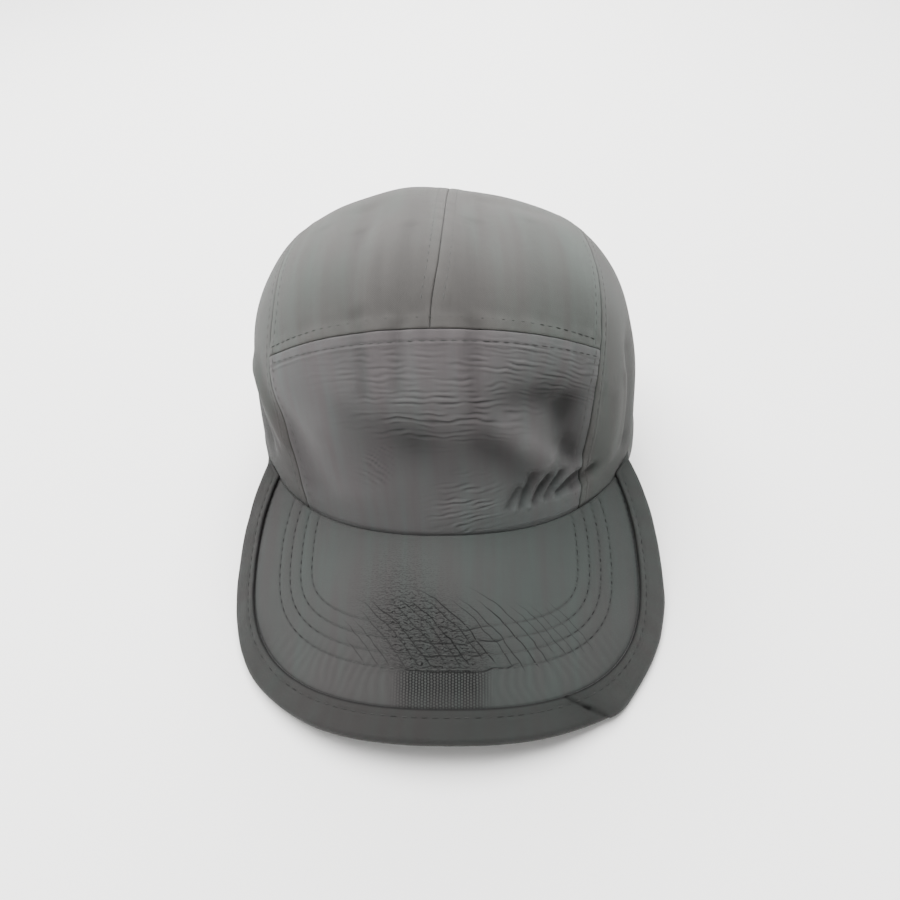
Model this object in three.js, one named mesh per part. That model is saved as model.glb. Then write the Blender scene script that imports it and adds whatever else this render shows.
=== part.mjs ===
import * as THREE from 'three';

// Five panel cap of plain woven cloth, resting on its back hem and on the edge of its peak.
// Lengths are in millimetres and angles in degrees. +Z is up and the peak points along -Y.
// The crown is worked out in the frame of its rim: x = y = 0 on the head's axis and z = 0 on the
// plane of the rim. The whole cap is then tipped so that it lies on the floor.

// Crown: how far it reaches from the head's axis, how squared its forms are, and how it leans.
const crown = {
  halfWidth: 84,
  front: 93,
  back: 108,
  height: 99,
  wall: 1.4,
  planSquareness: 2.12,
  sideSquareness: 3.05,
  faceSquareness: 4.4,
  rearSquareness: 2.25,
  sidewaysLean: -0.03,
  frontRise: 0.075,
};

// Hem: how far the cloth goes on below the rim, behind the peak and round the rest of the head.
const hem = { behindPeak: 4.2, elsewhere: 2.2, flatFrom: 112, flatTo: 150, settleHeight: 52 };

// Peak: a board bent to a cylinder, sloping down from the rim, with a superellipse for its edge.
const peak = {
  halfWidth: 92,
  length: 74.4,
  widestAt: 4.7,
  archRadius: 135,
  slope: 33.8,
  squareness: 2.36,
  rearCurve: 2.38,
  sidewaysShift: 1.8,
  endAzimuth: 59,
  thickness: 2.4,
};

// Binding: a strip folded round the peak's edge.
const binding = { width: 11.6, wall: 1, endWidth: 1.6, pressedFlat: 0.5 };

// Clearances between neighbouring pieces.
const seamGap = 0.36;
const peakGap = 0.4;
const bindingGap = 0.3;

// Seams of the crown. turn runs from the rim in front, over the top, to the rim behind. Each other
// column is the seam's distance from the middle, as a share of its distance from the side-to-side
// axis through the head.
const seams = [
  { turn: -6, left: 0.73, right: 0.69, centre: 0.0 },
  { turn: 20, left: 0.79, right: 0.742, centre: 0.0 },
  { turn: 33, left: 0.815, right: 0.73, centre: 0.0 },
  { turn: 43, left: 0.755, right: 0.713, centre: 0.004 },
  { turn: 54, left: 0.69, right: 0.7, centre: 0.03 },
  { turn: 68, left: 0.66, right: 0.705, centre: 0.043 },
  { turn: 90, left: 0.64, right: 0.67, centre: 0.045 },
  { turn: 120, left: 0.55, right: 0.57, centre: 0.04 },
  { turn: 150, left: 0.45, right: 0.46, centre: 0.03 },
  { turn: 186, left: 0.38, right: 0.38, centre: 0.02 },
];
const frontSeam = { middleTurn: 40.6, endTurn: 42.3 };

// Folds and dents of the crown, as soft lines from one place to another. across is a share of the
// half width on the front and top, and of the front reach on the sides. up is a share of the
// height, or of the front reach on the top. reach and rise are shares of the half width, and a
// rise below zero is a dent.
const folds = [
  { face: 'front', across: [-0.27, 0.28], up: [0.33, 0.27], reach: 0.17, rise: -0.036 },
  { face: 'front', across: [-0.35, 0.2], up: [0.55, 0.53], reach: 0.12, rise: 0.012 },
  { face: 'front', across: [0.24, 0.44], up: [0.57, 0.58], reach: 0.075, rise: -0.03 },
  { face: 'front', across: [0.44, 0.57], up: [0.57, 0.42], reach: 0.075, rise: -0.03 },
  { face: 'front', across: [0.57, 0.53], up: [0.4, 0.28], reach: 0.075, rise: -0.032 },
  { face: 'front', across: [0.3, 0.45], up: [0.47, 0.24], reach: 0.09, rise: 0.022 },
  { face: 'front', across: [0.34, 0.66], up: [0.09, 0.16], reach: 0.07, rise: -0.024 },
  { face: 'front', across: [-0.72, -0.52], up: [0.5, 0.38], reach: 0.09, rise: 0.018 },
  { face: 'front', across: [-0.52, -0.42], up: [0.38, 0.15], reach: 0.09, rise: 0.02 },
  { face: 'front', across: [-0.68, -0.56], up: [0.34, 0.14], reach: 0.09, rise: -0.02 },
  { face: 'left', across: [-0.48, -0.7], up: [0.48, 0.24], reach: 0.06, rise: 0.02 },
  { face: 'left', across: [-0.3, -0.56], up: [0.42, 0.2], reach: 0.08, rise: -0.026 },
  { face: 'left', across: [0.3, 0.1], up: [0.5, 0.16], reach: 0.11, rise: -0.03 },
  { face: 'right', across: [-0.4, -0.46], up: [0.44, 0.17], reach: 0.08, rise: -0.03 },
  { face: 'right', across: [-0.6, -0.66], up: [0.36, 0.14], reach: 0.07, rise: 0.016 },
  { face: 'right', across: [0.22, 0.05], up: [0.52, 0.18], reach: 0.11, rise: -0.03 },
  { face: 'top', across: [-0.38, -0.36], up: [-0.85, -0.2], reach: 0.07, rise: -0.014 },
  { face: 'top', across: [0.24, 0.2], up: [-0.8, 0], reach: 0.09, rise: -0.014 },
  { face: 'top', across: [-0.12, -0.12], up: [-0.6, 0.1], reach: 0.36, rise: 0.022 },
  { face: 'top', across: [-0.15, 0.35], up: [0.35, 0.5], reach: 0.16, rise: -0.03 },
  { face: 'back', across: [-0.5, 0.1], up: [0.42, 0.3], reach: 0.14, rise: -0.03 },
  { face: 'back', across: [0.2, 0.6], up: [0.5, 0.62], reach: 0.12, rise: -0.024 },
];
const foldsStart = { from: 0.06, to: 0.14 };

// Steps of the faceted surfaces.
const steps = {
  frontRows: 14,
  topRows: 22,
  halfColumns: 11,
  sideColumns: 30,
  sideRows: 11,
  peakColumns: 46,
  peakRows: 7,
  bindingStations: 62,
  outlinePoints: 240,
  search: 40,
};

const cloth = {
  top: { color: '#8b8986', roughness: 0.92, metalness: 0 },
  front: { color: '#6c6c6c', roughness: 0.92, metalness: 0 },
  side: { color: '#6e6e69', roughness: 0.92, metalness: 0 },
  peak: { color: '#5f6262', roughness: 0.92, metalness: 0 },
  binding: { color: '#5c5e5c', roughness: 0.92, metalness: 0 },
};

const radians = THREE.MathUtils.degToRad;
const lerp = THREE.MathUtils.lerp;
const clamp = THREE.MathUtils.clamp;
const smooth = THREE.MathUtils.smoothstep;

// Value of one column of the seam table, on a smooth curve through its rows.
function seamAt(column, turn) {
  const degrees = clamp(THREE.MathUtils.radToDeg(turn), seams[0].turn, seams.at(-1).turn);
  const next = clamp(seams.findIndex((row) => row.turn >= degrees), 1, seams.length - 1);
  const [before, from, to, after] = [next - 2, next - 1, next, next + 1]
    .map((index) => seams[clamp(index, 0, seams.length - 1)]);
  const span = to.turn - from.turn;
  const share = (degrees - from.turn) / span;
  const leave = ((to[column] - before[column]) / (to.turn - before.turn)) * span;
  const arrive = ((after[column] - from[column]) / (after.turn - from.turn)) * span;
  const square = share * share;
  const cube = square * share;
  return (2 * cube - 3 * square + 1) * from[column] + (cube - 2 * square + share) * leave
    + (3 * square - 2 * cube) * to[column] + (cube - square) * arrive;
}

// Direction from the rim's centre, by its turn over the head and its sideways spread.
function direction(turn, spread) {
  return new THREE.Vector3(spread, -Math.cos(turn), Math.sin(turn)).normalize();
}

// Crown's rim seen from above, in a given direction.
function rimRadius(x, y, grow = 0) {
  const depth = (y < 0 ? crown.front : crown.back) + grow;
  const width = crown.halfWidth + grow;
  const n = crown.planSquareness;
  return (Math.abs(x / width) ** n + Math.abs(y / depth) ** n) ** (-1 / n);
}

// Crown's smooth outer surface in a given direction. Below the rim it goes straight down.
function smoothCrown(toward) {
  const flat = Math.hypot(toward.x, toward.y);
  if (toward.z <= 0) {
    const reach = rimRadius(toward.x, toward.y);
    return new THREE.Vector3(toward.x * reach, toward.y * reach, (flat ? toward.z : 0) * reach);
  }
  const frontness = flat ? -toward.y / flat : 0;
  const level = frontness > 0 ? crown.faceSquareness : crown.rearSquareness;
  const aside = lerp(crown.sideSquareness, level, frontness ** 2);
  const q = lerp(aside, crown.sideSquareness, toward.z ** 2);
  const plan = flat ? 1 / rimRadius(toward.x, toward.y) : 0;
  const reach = (plan ** q + (toward.z / crown.height) ** q) ** (-1 / q);
  const point = toward.clone().multiplyScalar(reach);
  point.x += crown.sidewaysLean * point.z;
  point.z *= 1 - (crown.frontRise * point.y) / crown.height;
  return point;
}

// Outward normal of the smooth crown.
function crownNormal(toward) {
  const step = 0.004;
  const aside = new THREE.Vector3(-toward.y, toward.x, 0);
  if (aside.length() < step) aside.set(1, 0, 0);
  aside.normalize();
  const upward = new THREE.Vector3().crossVectors(toward, aside);
  const at = smoothCrown(toward);
  const tangents = [aside, upward].map((way) =>
    smoothCrown(toward.clone().addScaledVector(way, step).normalize()).sub(at));
  const normal = new THREE.Vector3().crossVectors(tangents[0], tangents[1]).normalize();
  return normal.dot(toward) < 0 ? normal.negate() : normal;
}

// How far the folds and dents raise the cloth at a point of the smooth crown.
function foldRise(point, normal) {
  const flatSides = {
    front: [point.x, point.z, -normal.y],
    back: [point.x, point.z, normal.y],
    left: [point.y, point.z, -normal.x],
    right: [point.y, point.z, normal.x],
    top: [point.x, point.y, normal.z],
  };
  let rise = 0;
  for (const fold of folds) {
    const [across, up, facing] = flatSides[fold.face];
    if (facing <= 0) continue;
    const upright = fold.face !== 'top';
    const acrossScale = fold.face === 'left' || fold.face === 'right' ? crown.front : crown.halfWidth;
    const upScale = upright ? crown.height : crown.front;
    const start = new THREE.Vector2(fold.across[0] * acrossScale, fold.up[0] * upScale);
    const end = new THREE.Vector2(fold.across[1] * acrossScale, fold.up[1] * upScale);
    const along = end.clone().sub(start);
    const place = new THREE.Vector2(across, up).sub(start);
    const share = clamp(place.dot(along) / along.lengthSq(), 0, 1);
    const away = place.addScaledVector(along, -share).length();
    const reach = fold.reach * crown.halfWidth;
    rise += fold.rise * crown.halfWidth * Math.exp(-((away / reach) ** 2)) * facing;
  }
  return rise * smooth(point.z / crown.height, foldsStart.from, foldsStart.to);
}

// Depth of the hem below the rim, round the head. The azimuth is 0 in front.
function hemDrop(azimuth) {
  const end = radians(peak.endAzimuth);
  const behindPeak = smooth(1.25 - Math.abs(azimuth) / end, 0, 0.5);
  return lerp(hem.elsewhere, hem.behindPeak, behindPeak);
}

// Moves a point from the rim's frame to the floor, for a given tip of the cap.
function tipped(point, tip) {
  const lift = crown.back * Math.sin(tip) + hem.elsewhere * Math.cos(tip);
  const y = point.y * Math.cos(tip) + point.z * Math.sin(tip);
  const z = -point.y * Math.sin(tip) + point.z * Math.cos(tip) + lift;
  return new THREE.Vector3(point.x, y, z);
}

// Outer and inner point of the crown's cloth, on the floor, with the back hem pressed flat on it.
function crownWall(toward, tip, isHem) {
  const base = smoothCrown(toward);
  const normal = crownNormal(toward);
  const raised = base.clone().addScaledVector(normal, foldRise(base, normal));
  const azimuth = Math.atan2(base.x, -base.y);
  const drop = hemDrop(azimuth);
  const edge = tipped(new THREE.Vector3(base.x, base.y, -drop), tip).z;
  const pressed = smooth(Math.abs(azimuth), radians(hem.flatFrom), radians(hem.flatTo));
  const height = clamp(1 - (base.z + drop) / hem.settleHeight, 0, 1);
  const sink = edge * pressed * height ** 2;
  const outer = tipped(raised, tip);
  const inner = tipped(raised.clone().addScaledVector(normal, -crown.wall), tip);
  outer.z = isHem ? edge * (1 - pressed) : Math.max(outer.z - sink, 0);
  inner.z = isHem ? outer.z : Math.max(inner.z - sink, 0);
  return { outer, inner };
}

// Turn or elevation of the hem's edge, in a direction that lies on the rim's plane.
function hemAngle(x, y) {
  return -Math.atan(hemDrop(Math.atan2(x, -y)) / rimRadius(x, y));
}

// Spread of a seam at a turn, moved sideways by a length on the cloth.
function seamSpread(column, turn, aside) {
  const step = 0.01;
  const side = column === 'left' ? -1 : 1;
  const slope = (seamAt(column, turn + step) - seamAt(column, turn - step)) / (2 * step);
  const spread = side * seamAt(column, turn);
  const point = smoothCrown(direction(turn, spread));
  return spread + (aside * Math.hypot(1, slope)) / Math.hypot(point.y, point.z);
}

// Grid of outer and inner points from a function of the row and column, both from 0 to 1.
function wallGrid(rows, columns, pointAt) {
  const outer = [];
  const inner = [];
  for (let row = 0; row <= rows; row += 1) {
    const line = Array.from({ length: columns + 1 }, (_, column) => pointAt(row / rows, column / columns));
    outer.push(line.map((pair) => pair.outer));
    inner.push(line.map((pair) => pair.inner));
  }
  return { outer, inner };
}

// Closed solid between an outer and an inner grid. Points that coincide are joined.
function wallSolid({ outer, inner }) {
  const positions = [];
  const index = [];
  const known = new Map();
  const vertex = (point) => {
    const key = point.toArray().map((value) => Math.round(value * 1e4)).join();
    if (!known.has(key)) {
      known.set(key, positions.length / 3);
      positions.push(point.x, point.y, point.z);
    }
    return known.get(key);
  };
  const triangle = (...corners) => {
    const [a, b, c] = corners.map(vertex);
    if (a !== b && b !== c && c !== a) index.push(a, b, c);
  };
  const quad = (a, b, c, d) => {
    if (a.distanceToSquared(c) < b.distanceToSquared(d)) {
      triangle(a, b, c);
      triangle(a, c, d);
    } else {
      triangle(a, b, d);
      triangle(b, c, d);
    }
  };
  const rows = outer.length - 1;
  const columns = outer[0].length - 1;
  for (let i = 0; i < rows; i += 1) {
    for (let j = 0; j < columns; j += 1) {
      quad(outer[i][j], outer[i][j + 1], outer[i + 1][j + 1], outer[i + 1][j]);
      quad(inner[i][j], inner[i + 1][j], inner[i + 1][j + 1], inner[i][j + 1]);
    }
  }
  for (let j = 0; j < columns; j += 1) {
    quad(outer[0][j], inner[0][j], inner[0][j + 1], outer[0][j + 1]);
    quad(outer[rows][j], outer[rows][j + 1], inner[rows][j + 1], inner[rows][j]);
  }
  for (let i = 0; i < rows; i += 1) {
    quad(outer[i][0], outer[i + 1][0], inner[i + 1][0], inner[i][0]);
    quad(outer[i][columns], inner[i][columns], inner[i + 1][columns], outer[i + 1][columns]);
  }
  const geometry = new THREE.BufferGeometry();
  geometry.setAttribute('position', new THREE.Float32BufferAttribute(positions, 3));
  geometry.setIndex(signedVolume(positions, index) < 0 ? index.reverse() : index);
  geometry.computeVertexNormals();
  return geometry;
}

function signedVolume(positions, index) {
  const corner = (at) => new THREE.Vector3().fromArray(positions, 3 * index[at]);
  let volume = 0;
  for (let at = 0; at < index.length; at += 3) {
    volume += corner(at).dot(corner(at + 1).cross(corner(at + 2))) / 6;
  }
  return volume;
}

function frontSeamTurn(across) {
  return radians(lerp(frontSeam.middleTurn, frontSeam.endTurn, across * across));
}

// Angle that a length on the cloth takes at the seam across the front.
function frontSeamMargin(turn) {
  const point = smoothCrown(direction(turn, 0));
  return seamGap / 2 / Math.hypot(point.y, point.z);
}

function frontPanel(tip) {
  return wallGrid(steps.frontRows, 2 * steps.halfColumns, (up, over) => {
    const across = 2 * over - 1;
    const top = frontSeamTurn(across);
    const cornerSpread = across * (across < 0 ? seamAt('left', 0) : seamAt('right', 0));
    const bottom = hemAngle(cornerSpread, -1);
    const turn = lerp(bottom, top - frontSeamMargin(top), up);
    const left = seamSpread('left', turn, seamGap / 2);
    const right = seamSpread('right', turn, -seamGap / 2);
    const spread = across < 0 ? -across * left : across * right;
    return crownWall(direction(turn, spread), tip, up === 0);
  });
}

function topPanel(side, tip) {
  const column = side < 0 ? 'left' : 'right';
  return wallGrid(steps.topRows, steps.halfColumns, (up, over) => {
    const start = frontSeamTurn(over);
    const endSpread = side * lerp(0, seamAt(column, Math.PI), over);
    const end = Math.PI - hemAngle(endSpread, 1);
    const turn = lerp(end, start + frontSeamMargin(start), up);
    const middle = seamSpread('centre', turn, (side * seamGap) / 2);
    const edge = seamSpread(column, turn, (-side * seamGap) / 2);
    return crownWall(direction(turn, lerp(middle, edge, over)), tip, up === 0);
  });
}

function sidePanel(side, tip) {
  const column = side < 0 ? 'left' : 'right';
  const frontCorner = hemAngle(side * seamAt(column, 0), -1);
  const backCorner = Math.PI - hemAngle(side * seamAt(column, Math.PI), 1);
  return wallGrid(steps.sideRows, steps.sideColumns, (up, over) => {
    const turn = lerp(frontCorner, backCorner, over);
    const seam = direction(turn, seamSpread(column, turn, (side * seamGap) / 2));
    const flat = Math.hypot(seam.x, seam.y);
    const top = Math.atan2(seam.z, flat);
    const bottom = hemAngle(seam.x / flat, seam.y / flat);
    const isCorner = over === 0 || over === 1;
    const elevation = isCorner ? bottom : lerp(bottom, top, up);
    const level = Math.cos(elevation) / flat;
    const toward = new THREE.Vector3(seam.x * level, seam.y * level, Math.sin(elevation));
    return crownWall(toward, tip, up === 0 || isCorner);
  });
}

// Point of the peak: across and along its bent board, and above it.
function peakPoint(across, along, above) {
  const bend = across / peak.archRadius;
  const slope = radians(peak.slope);
  const sag = peak.archRadius * (1 - Math.cos(bend)) - above * Math.cos(bend);
  return new THREE.Vector3(
    (peak.archRadius + above) * Math.sin(bend),
    -crown.front - along * Math.cos(slope) + sag * Math.sin(slope),
    -along * Math.sin(slope) - sag * Math.cos(slope),
  );
}

// Where the peak's board meets the crown, at an azimuth round the head and a height in the board.
function peakSeam(azimuth, above) {
  const slope = radians(peak.slope);
  const reach = rimRadius(Math.sin(azimuth), -Math.cos(azimuth), peakGap);
  const x = reach * Math.sin(azimuth);
  const y = -reach * Math.cos(azimuth);
  const bend = Math.asin(x / (peak.archRadius + above));
  const sag = peak.archRadius * (1 - Math.cos(bend)) - above * Math.cos(bend);
  const along = (-crown.front + sag * Math.sin(slope) - y) / Math.cos(slope);
  return new THREE.Vector2(peak.archRadius * bend, along);
}

// Half of the peak's outline on its board, from the middle of the front to the crown.
function halfOutline() {
  const end = peakSeam(radians(peak.endAzimuth), 0);
  const power = 2 / peak.squareness;
  const points = [];
  for (let i = 0; i <= steps.outlinePoints; i += 1) {
    const angle = (i / steps.outlinePoints) * (Math.PI / 2);
    const along = Math.max(Math.cos(angle), 0) ** power;
    points.push(new THREE.Vector2(
      peak.halfWidth * Math.sin(angle) ** power,
      lerp(peak.widestAt, peak.length, along),
    ));
  }
  for (let i = 1; i <= steps.outlinePoints / 2; i += 1) {
    const share = (2 * i) / steps.outlinePoints;
    points.push(new THREE.Vector2(
      lerp(peak.halfWidth, end.x, share ** peak.rearCurve),
      lerp(peak.widestAt, end.y, share),
    ));
  }
  return points;
}

// Whole outline as a function of its length, from 0 at the left end to 1 at the right end. The
// front of the peak sits a little to one side.
function makeOutline() {
  const half = halfOutline();
  const mirrored = half.slice(1).reverse().map((point) => new THREE.Vector2(-point.x, point.y));
  const points = [...mirrored, ...half];
  for (const point of points) {
    point.x += peak.sidewaysShift * clamp(point.y / peak.length, 0, 1) ** 2;
  }
  const lengths = [0];
  for (let i = 1; i < points.length; i += 1) {
    lengths.push(lengths[i - 1] + points[i].distanceTo(points[i - 1]));
  }
  return (share) => {
    const wanted = clamp(share, 0, 1) * lengths.at(-1);
    const next = clamp(lengths.findIndex((length) => length >= wanted), 1, points.length - 1);
    const part = (wanted - lengths[next - 1]) / (lengths[next] - lengths[next - 1]);
    return points[next - 1].clone().lerp(points[next], part);
  };
}

const outline = makeOutline();

// Point inside the outline, at a distance from it on the board.
function insideOutline(share, inset) {
  const step = 0.004;
  const way = outline(share + step).sub(outline(share - step)).normalize();
  return outline(share).add(new THREE.Vector2(way.y, -way.x).multiplyScalar(inset));
}

// Distance along the board from the crown to a point on it. Below zero is inside the crown.
function clearOfCrown(point, above) {
  let low = -Math.PI / 2;
  let high = Math.PI / 2;
  for (let i = 0; i < steps.search; i += 1) {
    const middle = (low + high) / 2;
    if (peakSeam(middle, above).x < point.x) low = middle;
    else high = middle;
  }
  return point.y - peakSeam(low, above).y;
}

// Levels of the board and of the binding's faces, measured from the peak's upper face.
const boardMiddle = -peak.thickness / 2 - bindingGap - binding.wall / 2;
const boardHalf = peak.thickness / 2;
const bindingInnerHalf = boardHalf + bindingGap;
const bindingOuterHalf = bindingInnerHalf + binding.wall;

// Widest strip that fits between the outline and the crown, at a place on the outline.
function stripWidth(share) {
  const underside = boardMiddle - bindingOuterHalf;
  let low = 0;
  let high = binding.width;
  const fits = (inset) => {
    const point = insideOutline(share, inset);
    return [underside, -underside - 2 * bindingOuterHalf, 0]
      .every((above) => clearOfCrown(point, Math.min(above, 0)) > peakGap);
  };
  if (fits(high)) return high;
  for (let i = 0; i < steps.search; i += 1) {
    const middle = (low + high) / 2;
    if (fits(middle)) low = middle;
    else high = middle;
  }
  return low;
}

// Place on the outline where the strip gets as wide as its end.
function bindingStart() {
  let low = 0;
  let high = 0.25;
  for (let i = 0; i < steps.search / 2; i += 1) {
    const middle = (low + high) / 2;
    if (stripWidth(middle) < binding.endWidth) low = middle;
    else high = middle;
  }
  return high;
}

function peakBoard(start, tip) {
  const edge = binding.wall + 1.6 * bindingGap;
  const cornerAzimuth = (above) => {
    const corner = insideOutline(start, edge);
    let low = 0;
    let high = Math.PI / 2;
    for (let i = 0; i < steps.search; i += 1) {
      const middle = (low + high) / 2;
      if (peakSeam(middle, above).x < Math.abs(corner.x)) low = middle;
      else high = middle;
    }
    return low;
  };
  const pointAt = (out, over, above) => {
    const end = cornerAzimuth(above);
    const seam = peakSeam(lerp(-end, end, over), above);
    const rim = insideOutline(lerp(start, 1 - start, over), edge);
    const place = seam.lerp(rim, out);
    return tipped(peakPoint(place.x, place.y, above), tip);
  };
  return wallGrid(steps.peakRows, steps.peakColumns, (out, over) => ({
    outer: pointAt(out, over, boardMiddle + boardHalf),
    inner: pointAt(out, over, boardMiddle - boardHalf),
  }));
}

// Section of the binding from its upper inner edge, round the peak's edge, to its lower one. Each
// row has a distance from the outline and a height above the board's middle, outside and inside.
function bindingSection(width) {
  const outer = bindingOuterHalf;
  const inner = bindingInnerHalf;
  const wall = binding.wall;
  const upper = [
    { out: [width, outer], in: [width, inner] },
    { out: [lerp(width, wall, 0.5), outer], in: [lerp(width, wall, 0.5), inner] },
    { out: [0.9 * wall, 0.96 * outer], in: [1.15 * wall, inner] },
    { out: [0.2 * wall, 0.6 * outer], in: [wall, 0.6 * inner] },
  ];
  const middle = { out: [0, 0], in: [wall, 0] };
  const lower = upper.slice().reverse().map((row) => ({
    out: [row.out[0], -row.out[1]],
    in: [row.in[0], -row.in[1]],
  }));
  return [...upper, middle, ...lower];
}

function peakBinding(start, tip) {
  const last = bindingSection(binding.width).length - 1;
  return wallGrid(steps.bindingStations, last, (along, round) => {
    const share = lerp(start, 1 - start, along);
    const row = bindingSection(stripWidth(share))[Math.round(round * last)];
    const place = ([inset, above]) => {
      const point = insideOutline(share, inset);
      const placed = tipped(peakPoint(point.x, point.y, boardMiddle + above), tip);
      placed.z = Math.max(placed.z, 0);
      return placed;
    };
    return { outer: place(row.out), inner: place(row.in) };
  });
}

// Tip of the cap that brings the peak's edge down to the floor, a little pressed flat on it.
function restingTip(start) {
  const lowest = (tip) => {
    let z = Infinity;
    for (let i = 0; i <= steps.bindingStations; i += 1) {
      const point = insideOutline(lerp(start, 1 - start, i / steps.bindingStations), binding.wall);
      const under = peakPoint(point.x, point.y, boardMiddle - bindingOuterHalf);
      z = Math.min(z, tipped(under, tip).z);
    }
    return z;
  };
  let low = 0;
  let high = radians(peak.slope);
  for (let i = 0; i < steps.search; i += 1) {
    const middle = (low + high) / 2;
    if (lowest(middle) < -binding.pressedFlat) low = middle;
    else high = middle;
  }
  return high;
}

function piece(name, grid, finish) {
  const mesh = new THREE.Mesh(wallSolid(grid), new THREE.MeshStandardMaterial(finish));
  mesh.name = name;
  return mesh;
}

// The seven pieces, then moved so that the cap stands over the middle of its own box.
const start = bindingStart();
const tip = restingTip(start);
const cap = new THREE.Group();
cap.add(piece('front_panel', frontPanel(tip), cloth.front));
cap.add(piece('top_panel_left', topPanel(-1, tip), cloth.top));
cap.add(piece('top_panel_right', topPanel(1, tip), cloth.top));
cap.add(piece('side_panel_left', sidePanel(-1, tip), cloth.side));
cap.add(piece('side_panel_right', sidePanel(1, tip), cloth.side));
cap.add(piece('peak', peakBoard(start, tip), cloth.peak));
cap.add(piece('peak_binding', peakBinding(start, tip), cloth.binding));

const middle = new THREE.Box3().setFromObject(cap).getCenter(new THREE.Vector3());
cap.position.set(-middle.x, -middle.y, 0);

export default cap;
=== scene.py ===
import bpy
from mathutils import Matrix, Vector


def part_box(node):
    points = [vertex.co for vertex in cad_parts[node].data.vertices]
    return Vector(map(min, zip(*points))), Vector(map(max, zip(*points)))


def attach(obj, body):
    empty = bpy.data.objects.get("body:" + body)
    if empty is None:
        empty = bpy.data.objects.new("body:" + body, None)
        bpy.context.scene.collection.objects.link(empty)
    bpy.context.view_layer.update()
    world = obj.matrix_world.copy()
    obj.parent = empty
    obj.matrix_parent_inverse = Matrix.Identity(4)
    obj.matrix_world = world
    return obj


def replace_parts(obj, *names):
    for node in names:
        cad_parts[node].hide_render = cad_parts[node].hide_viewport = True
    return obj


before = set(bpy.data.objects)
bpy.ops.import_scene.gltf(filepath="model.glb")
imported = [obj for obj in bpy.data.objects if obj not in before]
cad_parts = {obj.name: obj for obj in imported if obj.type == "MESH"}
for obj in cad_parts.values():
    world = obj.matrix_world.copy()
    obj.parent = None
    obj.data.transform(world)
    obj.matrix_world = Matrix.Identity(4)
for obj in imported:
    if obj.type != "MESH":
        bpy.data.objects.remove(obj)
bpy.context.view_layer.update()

import math

import bmesh
import bpy
import numpy as np
from bpy.props import FloatProperty, FloatVectorProperty, IntProperty, PointerProperty
from mathutils import Matrix, Vector

bl_info = {
    "name": "Five Panel Cap",
    "version": (1, 0, 0),
    "blender": (4, 5, 0),
    "location": "View3D > Sidebar > Cap",
    "description": "Sews the cloth panels, peak, binding and stitches of a five panel cap",
    "category": "Add Mesh",
}

MM = 0.001
FLOOR_GAP = 0.05 * MM


def table(columns, *rows):
    """Rows of a table as dictionaries with the columns' names."""
    names = columns.split()
    return tuple(dict(zip(names, row)) for row in rows)


# Seams of the crown. turn runs in degrees from the rim in front, over the top, to the rim behind.
# Each other column is the seam's distance from the middle, as a share of its distance from the
# side-to-side axis through the head.
SEAMS = table(
    "turn left right centre",
    (-6, 0.73, 0.69, 0.0),
    (20, 0.79, 0.742, 0.0),
    (33, 0.815, 0.73, 0.0),
    (43, 0.755, 0.713, 0.004),
    (54, 0.69, 0.7, 0.03),
    (68, 0.66, 0.705, 0.043),
    (90, 0.64, 0.67, 0.045),
    (120, 0.55, 0.57, 0.04),
    (150, 0.45, 0.46, 0.03),
    (186, 0.38, 0.38, 0.02),
)
FRONT_SEAM = dict(middle_turn=40.6, end_turn=42.3)

# Folds and dents of the crown, as soft lines from one place to another. across is a share of the
# half width on the front, back and top, and of the front reach on the sides. up is a share of the
# height, or of the front reach on the top. reach and rise are shares of the half width.
FOLDS = table(
    "face across up reach rise",
    ("front", (-0.27, 0.28), (0.33, 0.27), 0.17, -0.027),
    ("front", (-0.35, 0.2), (0.55, 0.53), 0.12, 0.012),
    ("front", (0.25, 0.38), (0.525, 0.525), 0.08, -0.028),
    ("front", (0.48, 0.545), (0.5, 0.45), 0.085, -0.023),
    ("front", (0.54, 0.565), (0.44, 0.25), 0.1, -0.039),
    ("front", (0.27, 0.45), (0.42, 0.25), 0.08, 0.016),
    ("front", (0.36, 0.66), (0.09, 0.15), 0.08, -0.022),
    ("front", (-0.72, -0.52), (0.5, 0.38), 0.09, 0.013),
    ("front", (-0.52, -0.42), (0.38, 0.15), 0.12, 0.012),
    ("front", (-0.68, -0.56), (0.34, 0.14), 0.11, -0.015),
    ("left", (-0.48, -0.7), (0.48, 0.24), 0.06, 0.02),
    ("left", (-0.3, -0.56), (0.42, 0.2), 0.08, -0.026),
    ("left", (0.3, 0.1), (0.5, 0.16), 0.11, -0.03),
    ("right", (-0.38, -0.46), (0.5, 0.12), 0.09, -0.024),
    ("right", (-0.6, -0.66), (0.36, 0.14), 0.07, 0.016),
    ("right", (0.22, 0.05), (0.52, 0.18), 0.11, -0.03),
    ("top", (-0.38, -0.36), (-0.85, -0.2), 0.07, -0.014),
    ("top", (0.24, 0.2), (-0.8, 0.0), 0.09, -0.014),
    ("top", (-0.12, -0.12), (-0.6, 0.1), 0.36, 0.022),
    ("top", (-0.15, 0.35), (0.72, 0.84), 0.16, -0.03),
    ("top", (-0.24, -0.16), (0.0, 0.45), 0.26, 0.02),
    ("top", (0.42, 0.45), (0.0, 0.4), 0.18, -0.014),
    ("back", (-0.5, 0.1), (0.42, 0.3), 0.14, -0.03),
    ("back", (0.2, 0.6), (0.5, 0.62), 0.12, -0.024),
)

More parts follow.
